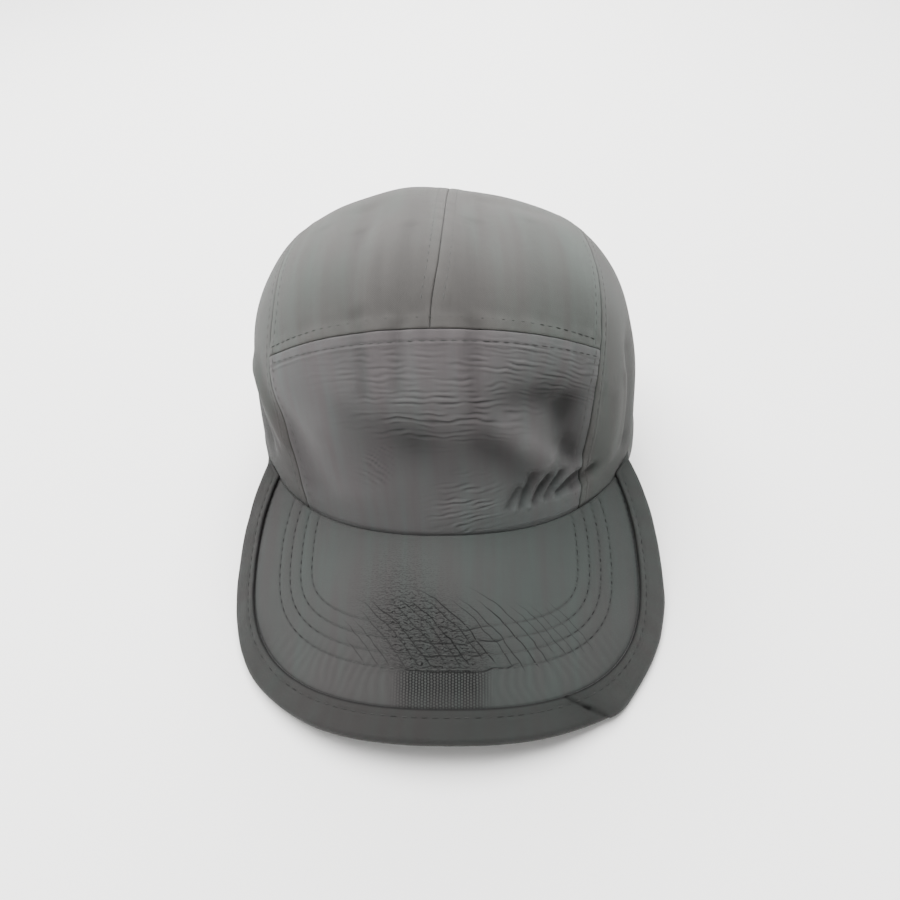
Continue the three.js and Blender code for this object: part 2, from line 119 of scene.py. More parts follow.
# Sharper creases and small ridges, in the same terms
CREASES = table(
    "face across up reach rise",
    ("front", (-0.31, -0.3), (0.8, 0.56), 0.034, -0.011),
    ("front", (-0.15, -0.155), (0.78, 0.58), 0.03, -0.009),
    ("front", (0.148, 0.138), (0.78, 0.5), 0.036, -0.011),
    ("front", (-0.36, -0.1), (0.47, 0.39), 0.1, -0.01),
    ("front", (-0.1, 0.2), (0.39, 0.37), 0.1, -0.008),
    ("front", (0.2, 0.42), (0.37, 0.19), 0.08, -0.015),
    ("front", (0.27, 0.35), (0.42, 0.365), 0.045, 0.01),
    ("front", (0.38, 0.47), (0.34, 0.265), 0.045, 0.013),
    ("front", (0.49, 0.62), (0.245, 0.165), 0.038, 0.012),
    ("front", (0.33, 0.43), (0.535, 0.53), 0.07, -0.012),
    ("front", (0.49, 0.57), (0.51, 0.45), 0.07, -0.01),
    ("front", (0.56, 0.57), (0.44, 0.27), 0.085, -0.02),
    ("front", (0.57, 0.61), (0.28, 0.21), 0.035, -0.016),
    ("front", (0.295, 0.345), (0.085, 0.145), 0.02, -0.017),
    ("front", (0.35, 0.41), (0.08, 0.195), 0.02, -0.02),
    ("front", (0.41, 0.485), (0.085, 0.165), 0.02, -0.022),
    ("front", (0.465, 0.545), (0.09, 0.165), 0.019, -0.022),
    ("front", (0.52, 0.625), (0.09, 0.135), 0.019, -0.03),
    ("front", (0.59, 0.7), (0.09, 0.13), 0.02, -0.024),
    ("front", (0.32, 0.375), (0.075, 0.165), 0.018, 0.01),
    ("front", (0.38, 0.45), (0.075, 0.18), 0.018, 0.012),
    ("front", (0.44, 0.515), (0.085, 0.165), 0.017, 0.012),
    ("front", (0.5, 0.58), (0.09, 0.15), 0.017, 0.01),
    ("left", (-0.53, -0.7), (0.47, 0.27), 0.045, 0.016),
    ("left", (-0.52, -0.64), (0.33, 0.2), 0.045, 0.014),
    ("left", (-0.5, -0.66), (0.4, 0.23), 0.05, -0.014),
    ("right", (-0.42, -0.5), (0.5, 0.14), 0.045, -0.008),
    ("right", (-0.5, -0.57), (0.42, 0.16), 0.03, 0.01),
    ("top", (-0.36, -0.35), (-0.9, -0.45), 0.045, -0.008),
    ("top", (-0.14, -0.12), (-0.88, -0.5), 0.035, -0.006),
    ("top", (0.16, 0.15), (-0.9, -0.4), 0.04, -0.007),
    ("top", (-0.55, -0.53), (-0.8, -0.3), 0.045, -0.006),
    ("top", (0.42, 0.4), (-0.8, -0.3), 0.05, -0.006),
)
CREASES_START = dict(low=0.02, high=0.07)
FOLDS_START = dict(low=0.06, high=0.14)

# Patches of fine ripples on the front panel. across and wide are shares of the crown's half width,
# turn, tall and slant are in degrees, wave and rise in millimetres.
RIPPLES = table(
    "across wide turn tall slant wave rise",
    (0.02, 0.32, 27.5, 6.5, 0, 1.95, 0.42),
    (-0.15, 0.34, 34.5, 5, -3, 2.0, 0.16),
    (0.43, 0.31, 35.2, 4.8, -2, 1.65, 0.34),
    (0.11, 0.14, 5.5, 6.5, 12, 1.95, 0.34),
    (-0.28, 0.06, 15, 4.5, -30, 1.9, 0.22),
)

# Creases of the peak, in millimetres on its flat board. The long ones are like curves, each
# rising with slope and bend from its place at start.
LONG_CREASES = dict(first=-56, last=36, spacing=4.7, jitter=0.9, start=21, slope=0.45, bend=0.0165,
                    deepest=-13, spread=24, end=50.3, reach=0.3, rise=0.26)
CROSS_CREASES = table(
    "along left right",
    (36.0, -2, 20),
    (40.8, -11, 28),
    (45.2, -10, 21),
    (50.8, -16, 30),
)
CROSS_BEND = 0.006
CRINKLED = dict(start=(-16, 20), end=(0, 46), reach=15)
BEADED = dict(left=-15, right=16, start=50.6, end=63)

# Rows of stitches on the peak, counted inward from the binding's inner edge, in millimetres.
PEAK_ROWS = dict(first=13.0, spacing=5.07, count=4)
BINDING_ROW = 2.9 * MM


def length_property(label, about, value):
    return FloatProperty(name=label, description=about, default=value, min=0.0, unit="LENGTH",
                         precision=4)


def angle_property(label, about, degrees):
    return FloatProperty(name=label, description=about, default=math.radians(degrees),
                         unit="ROTATION")


def ratio_property(label, about, value):
    return FloatProperty(name=label, description=about, default=value, precision=3)


def colour_property(label, about, value):
    return FloatVectorProperty(name=label, description=about, default=value, size=3, min=0.0,
                               max=1.0, subtype="COLOR")


def place_property(label, about, value):
    return FloatProperty(name=label, description=about, default=value, unit="LENGTH")


def power_property(label, about, value):
    return FloatProperty(name=label, description=about, default=value, unit="POWER")


class CapSizes(bpy.types.PropertyGroup):
    """Sizes of the cap, in the frame of its rim"""

    half_width: length_property("Half width", "From the head's axis to the crown's side", 0.084)
    front: length_property("Front", "From the head's axis to the front of the crown", 0.093)
    back: length_property("Back", "From the head's axis to the back of the crown", 0.108)
    height: length_property("Height", "From the rim to the top of the crown", 0.099)
    wall: length_property("Cloth", "Thickness of the crown's cloth", 0.0014)
    plan_square: ratio_property("Plan", "How squared the rim is, 2 for an ellipse", 2.12)
    side_square: ratio_property("Sides", "How squared the sides are", 3.05)
    face_square: ratio_property("Face", "How squared the front is", 4.4)
    rear_square: ratio_property("Rear", "How squared the back is", 2.25)
    lean: ratio_property("Lean", "Sideways lean of the crown for each unit of height", -0.03)
    front_rise: ratio_property("Front rise", "How much higher the crown is in front", 0.075)
    hem_front: length_property("Hem behind peak", "Cloth below the rim behind the peak", 0.0042)
    hem_back: length_property("Hem", "Cloth below the rim elsewhere", 0.0022)
    settle_height: length_property("Settle height", "Height over which the back sinks", 0.052)
    seam_gap: length_property("Seam gap", "Gap between two panels at a seam", 0.00004)
    peak_gap: length_property("Peak gap", "Gap between the peak and the crown", 0.0002)
    peak_half_width: length_property("Peak half width", "Half width of the peak, laid flat", 0.092)
    peak_length: length_property("Peak length", "From the crown to the peak's edge", 0.0744)
    peak_widest: length_property("Peak widest", "Where the peak is widest, from the crown", 0.0047)
    arch_radius: length_property("Arch radius", "Radius of the peak's bend", 0.135)
    peak_slope: angle_property("Peak slope", "Slope of the peak below the rim", 33.8)
    peak_square: ratio_property("Peak squareness", "How squared the peak's outline is", 2.36)
    peak_rear: ratio_property("Peak rear curve", "How the outline turns in to the crown", 2.38)
    peak_shift: length_property("Peak shift", "Sideways shift of the peak's front", 0.0018)
    peak_end: angle_property("Peak end", "Azimuth of the peak's ends round the head", 59.0)
    peak_thickness: length_property("Peak thickness", "Thickness of the covered board", 0.0024)
    binding_width: length_property("Binding width", "Width of the strip on the peak's edge", 0.0116)
    binding_wall: length_property("Binding cloth", "Thickness of the folded strip", 0.001)
    binding_gap: length_property("Binding gap", "Gap between the strip and the board", 0.0003)
    binding_end: length_property("Binding end", "Width of the strip at its ends", 0.0016)
    pressed_flat: length_property("Pressed flat", "How far the strip flattens on the floor", 0.0005)
    stitch: length_property("Stitch", "Length of one stitch", 0.0029)
    stitch_space: length_property("Stitch space", "Space between two stitches", 0.0007)
    thread: length_property("Thread", "Thickness of the thread", 0.00036)
    seed: IntProperty(name="Seed", description="Seed of the cloth's small unevenness", default=7)


class CapColours(bpy.types.PropertyGroup):
    """Colours of the cap's cloths"""

    top: colour_property("Top cloth", "Cloth of the two top panels", (0.0685, 0.0715, 0.0675))
    front: colour_property("Front cloth", "Cloth of the front panel", (0.083, 0.083, 0.084))
    side: colour_property("Side cloth", "Cloth of the two side panels", (0.064, 0.065, 0.062))
    peak: colour_property("Peak cloth", "Cloth over the peak", (0.0455, 0.0475, 0.0465))
    binding: colour_property("Binding cloth", "Cloth round the peak", (0.0275, 0.0285, 0.0275))
    thread: colour_property("Thread", "Sewing thread", (0.068, 0.069, 0.067))


class CapStage(bpy.types.PropertyGroup):
    """Camera and lights, with the camera placed round the rim of the cap"""

    azimuth: angle_property("Azimuth", "Camera's azimuth, from the front towards the right", 2.615)
    elevation: angle_property("Elevation", "Camera's elevation above the plane of the rim", 30.468)
    roll: angle_property("Roll", "Camera's roll", -1.808)
    distance: length_property("Distance", "From the camera to the point that it looks at", 0.34297)
    aside: place_property("Aside", "Sideways place of that point", 0.000814)
    ahead: place_property("Ahead", "Its place along the cap", -0.030)
    above: place_property("Above", "Its height over the rim", -0.001615)
    lens: ratio_property("Lens", "Focal length in mm, for a sensor 36 mm wide", 30.995)
    floor: colour_property("Floor", "Colour of the floor", (0.9, 0.895, 0.885))
    top_light: power_property("Top light", "Power of the light above", 90.0)
    fill_light: power_property("Fill light", "Power of the light in front", 5.0)
    back_light: power_property("Back light", "Power of the light over the floor behind", 60.0)
    sky: ratio_property("Surroundings", "Brightness of the surroundings", 0.52)


def sizes():
    return bpy.context.scene.cap_sizes


def colours():
    return bpy.context.scene.cap_colours


def smooth(value, low, high):
    """Zero below low and one above high, with a smooth step between."""
    share = np.clip((value - low) / (high - low), 0.0, 1.0)
    return share * share * (3 - 2 * share)


def bell(value, reach):
    """One at zero, falling smoothly to both sides."""
    return np.exp(-((value / reach) ** 2))


def unit(vector, least=0.0):
    return vector / np.maximum(np.linalg.norm(vector, axis=-1, keepdims=True), least)


def axis_distance(point):
    """Distance from the side-to-side axis through the head."""
    return np.hypot(point[..., 1], point[..., 2])


def from_segment(place, start, end):
    """Distance on a flat plane from each place to a straight piece of line."""
    along, place = end - start, place - start
    share = np.clip(place @ along / (along @ along), 0, 1)
    return np.linalg.norm(place - share[..., None] * along, axis=-1)


def rounded_edge(distance, radius):
    """How far a surface draws back near its rounded edge."""
    inside = radius - np.clip(distance, 0, radius)
    return radius - np.sqrt(np.maximum(radius ** 2 - inside ** 2, 0))


def line_lengths(points):
    """Length of a line from its start to each of its points."""
    return np.concatenate([[0], np.cumsum(np.linalg.norm(np.diff(points, axis=0), axis=1))])


def at_lengths(wanted, lengths, values):
    """Rows of values at wanted lengths along a line."""
    return np.stack([np.interp(wanted, lengths, column) for column in values.T], -1)


def soft_noise(points, size, seed, waves=10):
    """Smooth unevenness of about -1 to 1, with bumps of about the given size."""
    draw = np.random.default_rng(seed)
    total = np.zeros(points.shape[:-1])
    for _ in range(waves):
        way = draw.normal(size=points.shape[-1])
        way /= np.linalg.norm(way)
        wave = size * draw.uniform(0.7, 1.8)
        phase = draw.uniform(0, 2 * math.pi)
        total += np.sin(points @ way * (2 * math.pi / wave) + phase)
    return total / math.sqrt(waves)


# Crown in the frame of its rim

def seam_at(column, turn):
    """Value of one column of the seam table, on a smooth curve through its rows."""
    turns = np.array([row["turn"] for row in SEAMS], float)
    values = np.array([row[column] for row in SEAMS], float)
    last = len(turns) - 1
    degrees = np.clip(np.degrees(turn), turns[0], turns[-1])
    after = np.clip(np.searchsorted(turns, degrees), 1, last)
    before = after - 1
    span = turns[after] - turns[before]
    share = (degrees - turns[before]) / span
    low, high = np.clip(before - 1, 0, last), np.clip(after + 1, 0, last)
    leave = (values[after] - values[low]) / (turns[after] - turns[low]) * span
    arrive = (values[high] - values[before]) / (turns[high] - turns[before]) * span
    square, cube = share ** 2, share ** 3
    return ((2 * cube - 3 * square + 1) * values[before] + (cube - 2 * square + share) * leave
            + (3 * square - 2 * cube) * values[after] + (cube - square) * arrive)


def seam_slope(column, turn, step=0.01):
    return (seam_at(column, turn + step) - seam_at(column, turn - step)) / (2 * step)


def side_seam(across, turn):
    """Place of the side seam on the side that each value across lies on."""
    return np.where(across < 0, seam_at("left", turn), seam_at("right", turn))


def direction(turn, spread):
    turn, spread = np.broadcast_arrays(turn, spread)
    return unit(np.stack([spread, -np.cos(turn), np.sin(turn)], -1))


def rim_radius(x, y, grow=0.0):
    cap = sizes()
    depth = np.where(y < 0, cap.front, cap.back) + grow
    width = cap.half_width + grow
    n = cap.plan_square
    return (np.abs(x / width) ** n + np.abs(y / depth) ** n) ** (-1 / n)


def smooth_crown(way):
    """Crown's outer surface without folds. Below the rim it goes straight down."""
    cap = sizes()
    x, y, z = way[..., 0], way[..., 1], way[..., 2]
    flat = np.maximum(np.hypot(x, y), 1e-9)
    radius = rim_radius(np.where(flat > 1e-8, x, 1e-9), y)
    frontness = -y / flat
    level = np.where(frontness > 0, cap.face_square, cap.rear_square)
    q = cap.side_square + (level - cap.side_square) * frontness ** 2
    up = np.clip(z, 0, 1)
    q = q + (cap.side_square - q) * up ** 2
    reach = (radius ** -q + (up / cap.height) ** q) ** (-1 / q)
    reach = np.where(z > 0, reach, radius)
    point = way * reach[..., None]
    above = np.maximum(point[..., 2], 0)
    rise = np.where(z > 0, 1 - cap.front_rise * point[..., 1] / cap.height, 1)
    return np.stack([point[..., 0] + cap.lean * above, point[..., 1], point[..., 2] * rise], -1)


def crown_normal(way):
    step = 0.004
    aside = unit(np.stack([-way[..., 1], way[..., 0], np.zeros(way.shape[:-1])], -1), least=1e-9)
    here, tangents = smooth_crown(way), (aside, np.cross(way, aside))
    ends = [smooth_crown(unit(way + tangent * step)) - here for tangent in tangents]
    normal = unit(np.cross(*ends), least=1e-12)
    return normal * np.sign(np.sum(normal * way, -1, keepdims=True))


def fold_rise(point, normal, folds, start):
    """How far folds and dents raise the cloth."""
    cap = sizes()
    x, y, z = (point[..., axis] for axis in range(3))
    faces = {
        "front": (x, z, -normal[..., 1], cap.half_width, cap.height),
        "back": (x, z, normal[..., 1], cap.half_width, cap.height),
        "left": (y, z, -normal[..., 0], cap.front, cap.height),
        "right": (y, z, normal[..., 0], cap.front, cap.height),
        "top": (x, y, normal[..., 2], cap.half_width, cap.front),
    }
    rise = np.zeros(x.shape)
    for fold in folds:
        across, up, facing, across_size, up_size = faces[fold["face"]]
        ends = np.array([fold["across"], fold["up"]]).T * (across_size, up_size)
        away = from_segment(np.stack([across, up], -1), *ends)
        size = fold["rise"] * cap.half_width
        rise += size * bell(away, fold["reach"] * cap.half_width) * np.maximum(facing, 0)
    return rise * smooth(z / cap.height, start["low"], start["high"])


def ripple_rise(point, away):
    """Fine ripples of the front panel."""
    cap = sizes()
    x = point[..., 0]
    radius = axis_distance(point)
    plane = np.stack([x, away["turn"] * cap.front], -1)
    wobble = soft_noise(plane, 0.016, cap.seed + 1) * 0.6 * MM
    wobble = wobble + soft_noise(plane * (1.0, 1.6), 0.0065, cap.seed + 4, 14) * 0.24 * MM
    breaks = 0.68 + 0.85 * soft_noise(plane * (1.0, 2.6), 0.0095, cap.seed + 2, 14)
    rise = np.zeros(x.shape)
    for patch in RIPPLES:
        slant = math.radians(patch["slant"])
        aside = x - patch["across"] * cap.half_width
        over = (away["turn"] - math.radians(patch["turn"])) * radius
        along = aside * math.cos(slant) + over * math.sin(slant)
        over = over * math.cos(slant) - aside * math.sin(slant)
        tall = math.radians(patch["tall"]) * cap.front
        reach = (along / (patch["wide"] * cap.half_width)) ** 2 + (over / tall) ** 2
        wave = np.abs(np.sin(math.pi * (over + wobble) / (patch["wave"] * MM))) - 0.64
        rise += patch["rise"] * MM * wave * np.exp(-reach ** 1.5) * np.clip(breaks, 0, 1.5)
    return rise


def seam_distances(way, point):
    """Distances on the cloth to each seam, above zero on the side of the middle panels."""
    turn = np.arctan2(way[..., 2], -way[..., 1])
    turn = np.where(turn < -math.pi / 2, turn + 2 * math.pi, turn)
    radius = axis_distance(point)
    spread = way[..., 0] / np.maximum(axis_distance(way), 1e-6)
    away = {"turn": turn, "spread": spread}
    for column, side in (("left", -1), ("right", 1), ("centre", 1)):
        gap = side * seam_at(column, turn) - spread
        away[column] = side * gap * radius / np.hypot(1, seam_slope(column, turn))
    across = spread / side_seam(spread, turn)
    away["front"] = (turn - front_seam_turn(across)) * radius
    return away


def front_seam_turn(across):
    middle, end = math.radians(FRONT_SEAM["middle_turn"]), math.radians(FRONT_SEAM["end_turn"])
    return middle + (end - middle) * np.clip(np.abs(across), 0, 1) ** 2


# Cloth beside a seam: where its row of stitches lies, how far the folded allowance goes, and how
# much the allowance stands up, the row sinks and the cloth puckers
SEAM_STITCHES = dict(offset=3.8 * MM, allowance=4.4 * MM, raised=0.28 * MM, sunk=0.22 * MM,
                     pucker=0.12 * MM)
# How much the rows beside a seam show on the cloth, and how much painted shade darkens each side
# seam's own line
SEAM_SHOWN = dict(left=0.35, right=0.5, centre=0.5)
SEAM_SHADE = dict(left=0.3, right=1.3)


def seam_rise(away, point):
    """Raised seam allowances, the dip at each row of stitches, and puckers along the seams."""
    cap = sizes()
    shape = SEAM_STITCHES
    unevenness = soft_noise(point, 0.0065, cap.seed + 3)
    rise = np.zeros(point.shape[:-1])
    middle = smooth(np.minimum(away["left"], away["right"]), -1 * MM, 1 * MM)
    upper = smooth(away["front"], -1 * MM, 1 * MM)
    weights = {
        "front": middle,
        "centre": middle * upper * SEAM_SHOWN["centre"],
        "left": SEAM_SHOWN["left"],
        "right": SEAM_SHOWN["right"],
    }
    for name, weight in weights.items():
        distance = np.abs(away[name])
        allowance = 1 - smooth(distance, shape["allowance"], shape["allowance"] + 1.2 * MM)
        row = bell(distance - shape["offset"], 0.55 * MM)
        puckers = bell(distance, 7 * MM) * unevenness
        relief = shape["raised"] * allowance - shape["sunk"] * row + shape["pucker"] * puckers
        rise += weight * relief
    return rise


def hem_drop(azimuth):
    cap = sizes()
    behind_peak = smooth(1.25 - np.abs(azimuth) / cap.peak_end, 0, 0.5)
    return cap.hem_back + (cap.hem_front - cap.hem_back) * behind_peak


def hem_angle(x, y):
    return -np.arctan(hem_drop(np.arctan2(x, -y)) / rim_radius(x, y))


def tipped(point, tip):
    """Moves a point from the rim's frame to the floor, for a given tip of the cap."""
    cap = sizes()
    lift = cap.back * math.sin(tip) + cap.hem_back * math.cos(tip)
    y = point[..., 1] * math.cos(tip) + point[..., 2] * math.sin(tip)
    z = point[..., 2] * math.cos(tip) - point[..., 1] * math.sin(tip) + lift
    return np.stack([point[..., 0], y, z], -1)


# Azimuths between which the hem comes to lie flat on the floor
HEM_FLAT = dict(start=math.radians(112), full=math.radians(150))
# Folded hem: its height, how far it stands out, and how far the row of stitches under its top sinks
HEM_FOLD = dict(height=8.5 * MM, raised=0.35 * MM, row=7.5 * MM, sunk=0.2 * MM)


# How much painted shade each layer of relief puts in its hollows, with painted light on its crests:
# the depth that counts as one, and the limits
RELIEF_SHADE = table(
    "layer one least most",
    ("fine", 1.2 * MM, -0.2, 0.4),
    ("sharp", 2.6 * MM, -0.3, 0.6),
    ("ripples", 0.4 * MM, -0.2, 0.6),
    ("soft", 6 * MM, -0.2, 0.55),
)
# Limits of the painted shade, below zero for painted light
PAINTED_SHADE_RANGE = (-0.5, 1.25)


def crown_painted_shade(base, azimuth, away, edge_share, relief):
    """Painted shade of each place, from its seams, its folds and how far it faces from the light,
    with painted light on the crests of its relief.
    """
    height, aside, leftward = base[..., 2], np.abs(azimuth), -azimuth
    # Painted shade along the seams and at the panels' rolled edges
    seams = 1 + sum((dark - 1) * bell(away[side], 3 * MM) for side, dark in SEAM_SHADE.items())
    depth = 0.8 * seams * np.clip(edge_share, 0, 1) ** 2 + 0.35 * bell(away["right"], 0.9 * MM)
    in_view = 1 - 0.9 * smooth(aside, 1.0, 1.4) - 0.4 * smooth(height, 75 * MM, 88 * MM)
    shown = {"sharp": np.maximum(in_view, 0), "soft": np.maximum(in_view, 0)}
    for row in RELIEF_SHADE:
        hollow = np.clip(-relief[row["layer"]] / row["one"], row["least"], row["most"])
        depth = depth + shown.get(row["layer"], 1) * hollow
    # How much the sides get painted shade, most on the left side
    sideways = smooth(aside, 0.5, 1.0) * (1 - 0.6 * smooth(aside, 1.2, 1.9))
    sideways = sideways + 0.9 * smooth(leftward, 0.3, 0.7) * (1 - smooth(leftward, 1.4, 2.0))
    # Painted shade low on the crown all round, and more low on the sides
    depth = depth + 0.1 * (1 - smooth(height, 4 * MM, 50 * MM))
    depth = depth + 0.6 * sideways * (1 - smooth(height, 12 * MM, 72 * MM))
    # Painted shade on the top near its front, a little left of the middle
    over_top = smooth(height, 70 * MM, 85 * MM) * (1 - smooth(base[..., 1], -20 * MM, 20 * MM))
    return depth + 0.36 * over_top * bell(base[..., 0] + 6 * MM, 26 * MM)


def crown_wall(way, panel):
    """Outer and inner points of a panel's cloth on the floor, and the painted shade of each place.
    """
    cap = sizes()
    tip = cap_tip()
    base = smooth_crown(way)
    normal = crown_normal(way)
    away = seam_distances(way, base)
    azimuth = np.arctan2(base[..., 0], -base[..., 1])
    drop = hem_drop(azimuth)
    over_hem = base[..., 2] + drop
    soft = fold_rise(base, normal, FOLDS, FOLDS_START)
    sharp = fold_rise(base, normal, CREASES, CREASES_START)
    uneven = soft_noise(base, 0.03, cap.seed) * smooth(over_hem, 4 * MM, 14 * MM)
    soft = soft + sharp + 0.25 * MM * uneven
    behind_peak = smooth(1.05 - np.abs(azimuth) / cap.peak_end, 0, 0.1)
    top = HEM_FOLD["height"]
    hem = HEM_FOLD["raised"] * (1 - smooth(over_hem, top, top + 1.5 * MM))
    hem = hem - HEM_FOLD["sunk"] * bell(over_hem - HEM_FOLD["row"], 0.6 * MM)
    ripples = ripple_rise(base, away)
    fine = seam_rise(away, base) + hem * (1 - behind_peak)
    near_peak = behind_peak * (1 - smooth(base[..., 2], -1.2 * MM, 0.2 * MM))
    fine = (fine + ripples) * (1 - near_peak) - 0.25 * MM * near_peak
    edges = {
        "front": (away["left"], away["right"], -away["front"]),
        "left_top": (away["left"], away["centre"], away["front"]),
        "right_top": (away["right"], -away["centre"], away["front"]),
        "left_side": (-away["left"],),
        "right_side": (-away["right"],),
        "middle": (),
    }
    from_seams = [distance - cap.seam_gap / 2 for distance in edges[panel]]
    edge = np.minimum.reduce([*from_seams, over_hem])
    radius = cap.wall / 2
    roll = rounded_edge(edge, radius)
    outer = base + normal * (soft + fine - roll)[..., None]
    inner = base + normal * (soft - cap.wall + roll)[..., None]
    edge_z = tipped(np.stack([base[..., 0], base[..., 1], -drop], -1), tip)[..., 2]
    pressed = smooth(np.abs(azimuth), HEM_FLAT["start"], HEM_FLAT["full"])
    sink = edge_z * pressed * np.clip(1 - over_hem / cap.settle_height, 0, 1) ** 2
    placed = []
    for surface in (outer, inner):
        point = tipped(surface, tip)
        point[..., 2] = np.maximum(point[..., 2] - sink, FLOOR_GAP)
        placed.append(point)
    relief = {"fine": fine, "sharp": sharp, "ripples": ripples, "soft": soft - sharp}
    # Painted shade of each place, with more where the crown meets the peak
    depth = 0.15 * near_peak + crown_painted_shade(base, azimuth, away, roll / radius, relief)
    return placed[0], placed[1], np.clip(depth, *PAINTED_SHADE_RANGE), away


# Peak on its bent board

def peak_point(across, along, above):
    cap = sizes()
    bend = across / cap.arch_radius
    sag = cap.arch_radius * (1 - np.cos(bend)) - above * np.cos(bend)
    slope = cap.peak_slope
    return np.stack([
        (cap.arch_radius + above) * np.sin(bend),
        -cap.front - along * math.cos(slope) + sag * math.sin(slope),
        -along * math.sin(slope) - sag * math.cos(slope),
    ], -1)


def peak_seam(azimuth, above, gap):
    """Where the board meets the crown, at an azimuth round the head and a height in the board."""
    cap = sizes()
    reach = rim_radius(np.sin(azimuth), -np.cos(azimuth), gap)
    x, y = reach * np.sin(azimuth), -reach * np.cos(azimuth)
    bend = np.arcsin(x / (cap.arch_radius + above))
    sag = cap.arch_radius * (1 - np.cos(bend)) - above * np.cos(bend)
    along = (-cap.front + sag * math.sin(cap.peak_slope) - y) / math.cos(cap.peak_slope)
    return np.stack([cap.arch_radius * bend, along], -1)


CAD_PEAK_GAP = 0.4 * MM
OUTLINE_STEPS = 240


def outline_points():
    cap = sizes()
    end = peak_seam(np.array(cap.peak_end), 0.0, CAD_PEAK_GAP)
    power = 2 / cap.peak_square
    angle = np.linspace(0, math.pi / 2, OUTLINE_STEPS + 1)
    lengthwise = np.maximum(np.cos(angle), 0) ** power
    front = np.stack([
        cap.peak_half_width * np.sin(angle) ** power,
        cap.peak_widest + (cap.peak_length - cap.peak_widest) * lengthwise,
    ], -1)
    share = np.arange(1, OUTLINE_STEPS // 2 + 1) * 2 / OUTLINE_STEPS
    rear = np.stack([
        cap.peak_half_width + (end[0] - cap.peak_half_width) * share ** cap.peak_rear,
        cap.peak_widest + (end[1] - cap.peak_widest) * share,
    ], -1)
    half = np.concatenate([front, rear])
    points = np.concatenate([half[:0:-1] * (-1, 1), half])
    points[:, 0] += cap.peak_shift * np.clip(points[:, 1] / cap.peak_length, 0, 1) ** 2
    return points


def outline(share):
    points = outline_points()
    lengths = line_lengths(points)
    return at_lengths(np.clip(share, 0, 1) * lengths[-1], lengths, points)


def outline_length():
    return float(line_lengths(outline_points())[-1])


def inside_outline(share, inset):
    step = 0.004
    way = unit(outline(share + step) - outline(share - step))
    inward = np.stack([way[..., 1], -way[..., 0]], -1)
    return outline(share) + inward * np.asarray(inset)[..., None]


def clear_of_crown(point, above, gap):
    """Distance along the board from the crown to a point on it."""
    azimuth = np.linspace(-math.pi / 2, math.pi / 2, 721)
    seam = peak_seam(azimuth, above, gap)
    return point[..., 1] - np.interp(point[..., 0], seam[:, 0], seam[:, 1])


def board_levels():
    """Middle of the board, and half heights of the board and of the binding's two faces."""
    cap = sizes()
    middle = -cap.peak_thickness / 2 - cap.binding_gap - cap.binding_wall / 2
    half = cap.peak_thickness / 2
    return middle, half, half + cap.binding_gap, half + cap.binding_gap + cap.binding_wall


def board_inset():
    """Distance from the peak's outline to the edge of its board."""
    return sizes().binding_wall + 1.6 * sizes().binding_gap


def strip_width(share, gap, level):
    """Widest strip that fits between the outline and the crown, at places on the outline."""
    inset = np.linspace(0, sizes().binding_width, 93)
    point = inside_outline(*np.broadcast_arrays(share[:, None], inset))
    blocked = np.cumsum(clear_of_crown(point, level, gap) <= gap, axis=1) > 0
    return np.where(blocked, 0, inset).max(axis=1)


def binding_start():
    """Where along the outline the strip begins in CAD, which sets the cap's tip."""
    middle, _, _, outer = board_levels()
    share = np.linspace(0, 0.25, 1500)
    widths = [strip_width(share, CAD_PEAK_GAP, level) for level in (middle - outer, 0.0)]
    width = np.minimum(*widths)
    return float(share[np.argmax(width >= sizes().binding_end)])


KNOWN = {}


def cap_tip():
    """Tip of the cap that brings the peak's edge down to the floor."""
    if "tip" not in KNOWN:
        cap = sizes()
        middle, _, _, outer = board_levels()
        start = binding_start()
        point = inside_outline(np.linspace(start, 1 - start, 200), cap.binding_wall)
        under = peak_point(point[:, 0], point[:, 1], middle - outer)
        low, high = 0.0, cap.peak_slope
        for _ in range(40):
            half = (low + high) / 2
            if tipped(under, half)[:, 2].min() < -cap.pressed_flat:
                low = half
            else:
                high = half
        KNOWN["tip"] = high
    return KNOWN["tip"]


def cap_shift():
    """Move from the head's axis to the middle of the cap's box, read off the frame."""
    if "shift" not in KNOWN:
        cap = sizes()
        middle, half, _, _ = board_levels()
        edge = cap.peak_length - board_inset()
        front = tipped(peak_point(np.array(0.0), np.array(edge), middle + half), cap_tip())
        KNOWN["shift"] = np.array([0.0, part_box("peak")[0][1] - front[1], 0.0])
    return KNOWN["shift"]


# Meshes

def edged_steps(count, length, edge_steps=(0.0, 0.08, 0.22, 0.42, 0.7, 1.1)):
    """Shares from 0 to 1 with short steps at both ends, where the cloth's edge is rounded."""
    ends = np.array(edge_steps) * MM / length
    middle = np.linspace(ends[-1], 1 - ends[-1], count)[1:-1]
    return np.concatenate([ends, middle, 1 - ends[::-1]])


def crowded_steps(steps, middle, reach, crowd):
    """Moves steps towards one place, where the cloth has finer creases."""
    share = np.linspace(0, 1, 2001)
    density = 1 + crowd * bell(share - middle, reach)
    at_ends = 1 + crowd * bell(middle - np.round(share), reach)
    density = np.where((share < 0.02) | (share > 0.98), at_ends, density)
    total = np.cumsum(density) - density[0]
    return np.interp(steps * total[-1], total, share)


def grid_faces(rows, columns, first, flip):
    row, column = np.meshgrid(np.arange(rows - 1), np.arange(columns - 1), indexing="ij")
    corner = (first + row * columns + column).ravel()
    faces = np.stack([corner, corner + 1, corner + columns + 1, corner + columns], -1)
    return faces[:, ::-1] if flip else faces


def edge_faces(rows, columns, second):
    grid = np.arange(rows * columns).reshape(rows, columns)
    border = [grid[0], grid[1:, -1], grid[-1, -2::-1], grid[-2:0:-1, 0], grid[:1, 0]]
    border = np.concatenate(border)
    a, b = border[:-1], border[1:]
    return np.stack([b, a, a + second, b + second], -1)


def add_piece(name, mesh, material):
    mesh.polygons.foreach_set("use_smooth", np.ones(len(mesh.polygons), bool))
    mesh.materials.append(material)
    piece = bpy.data.objects.new(name, mesh)
    bpy.context.collection.objects.link(piece)
    return piece


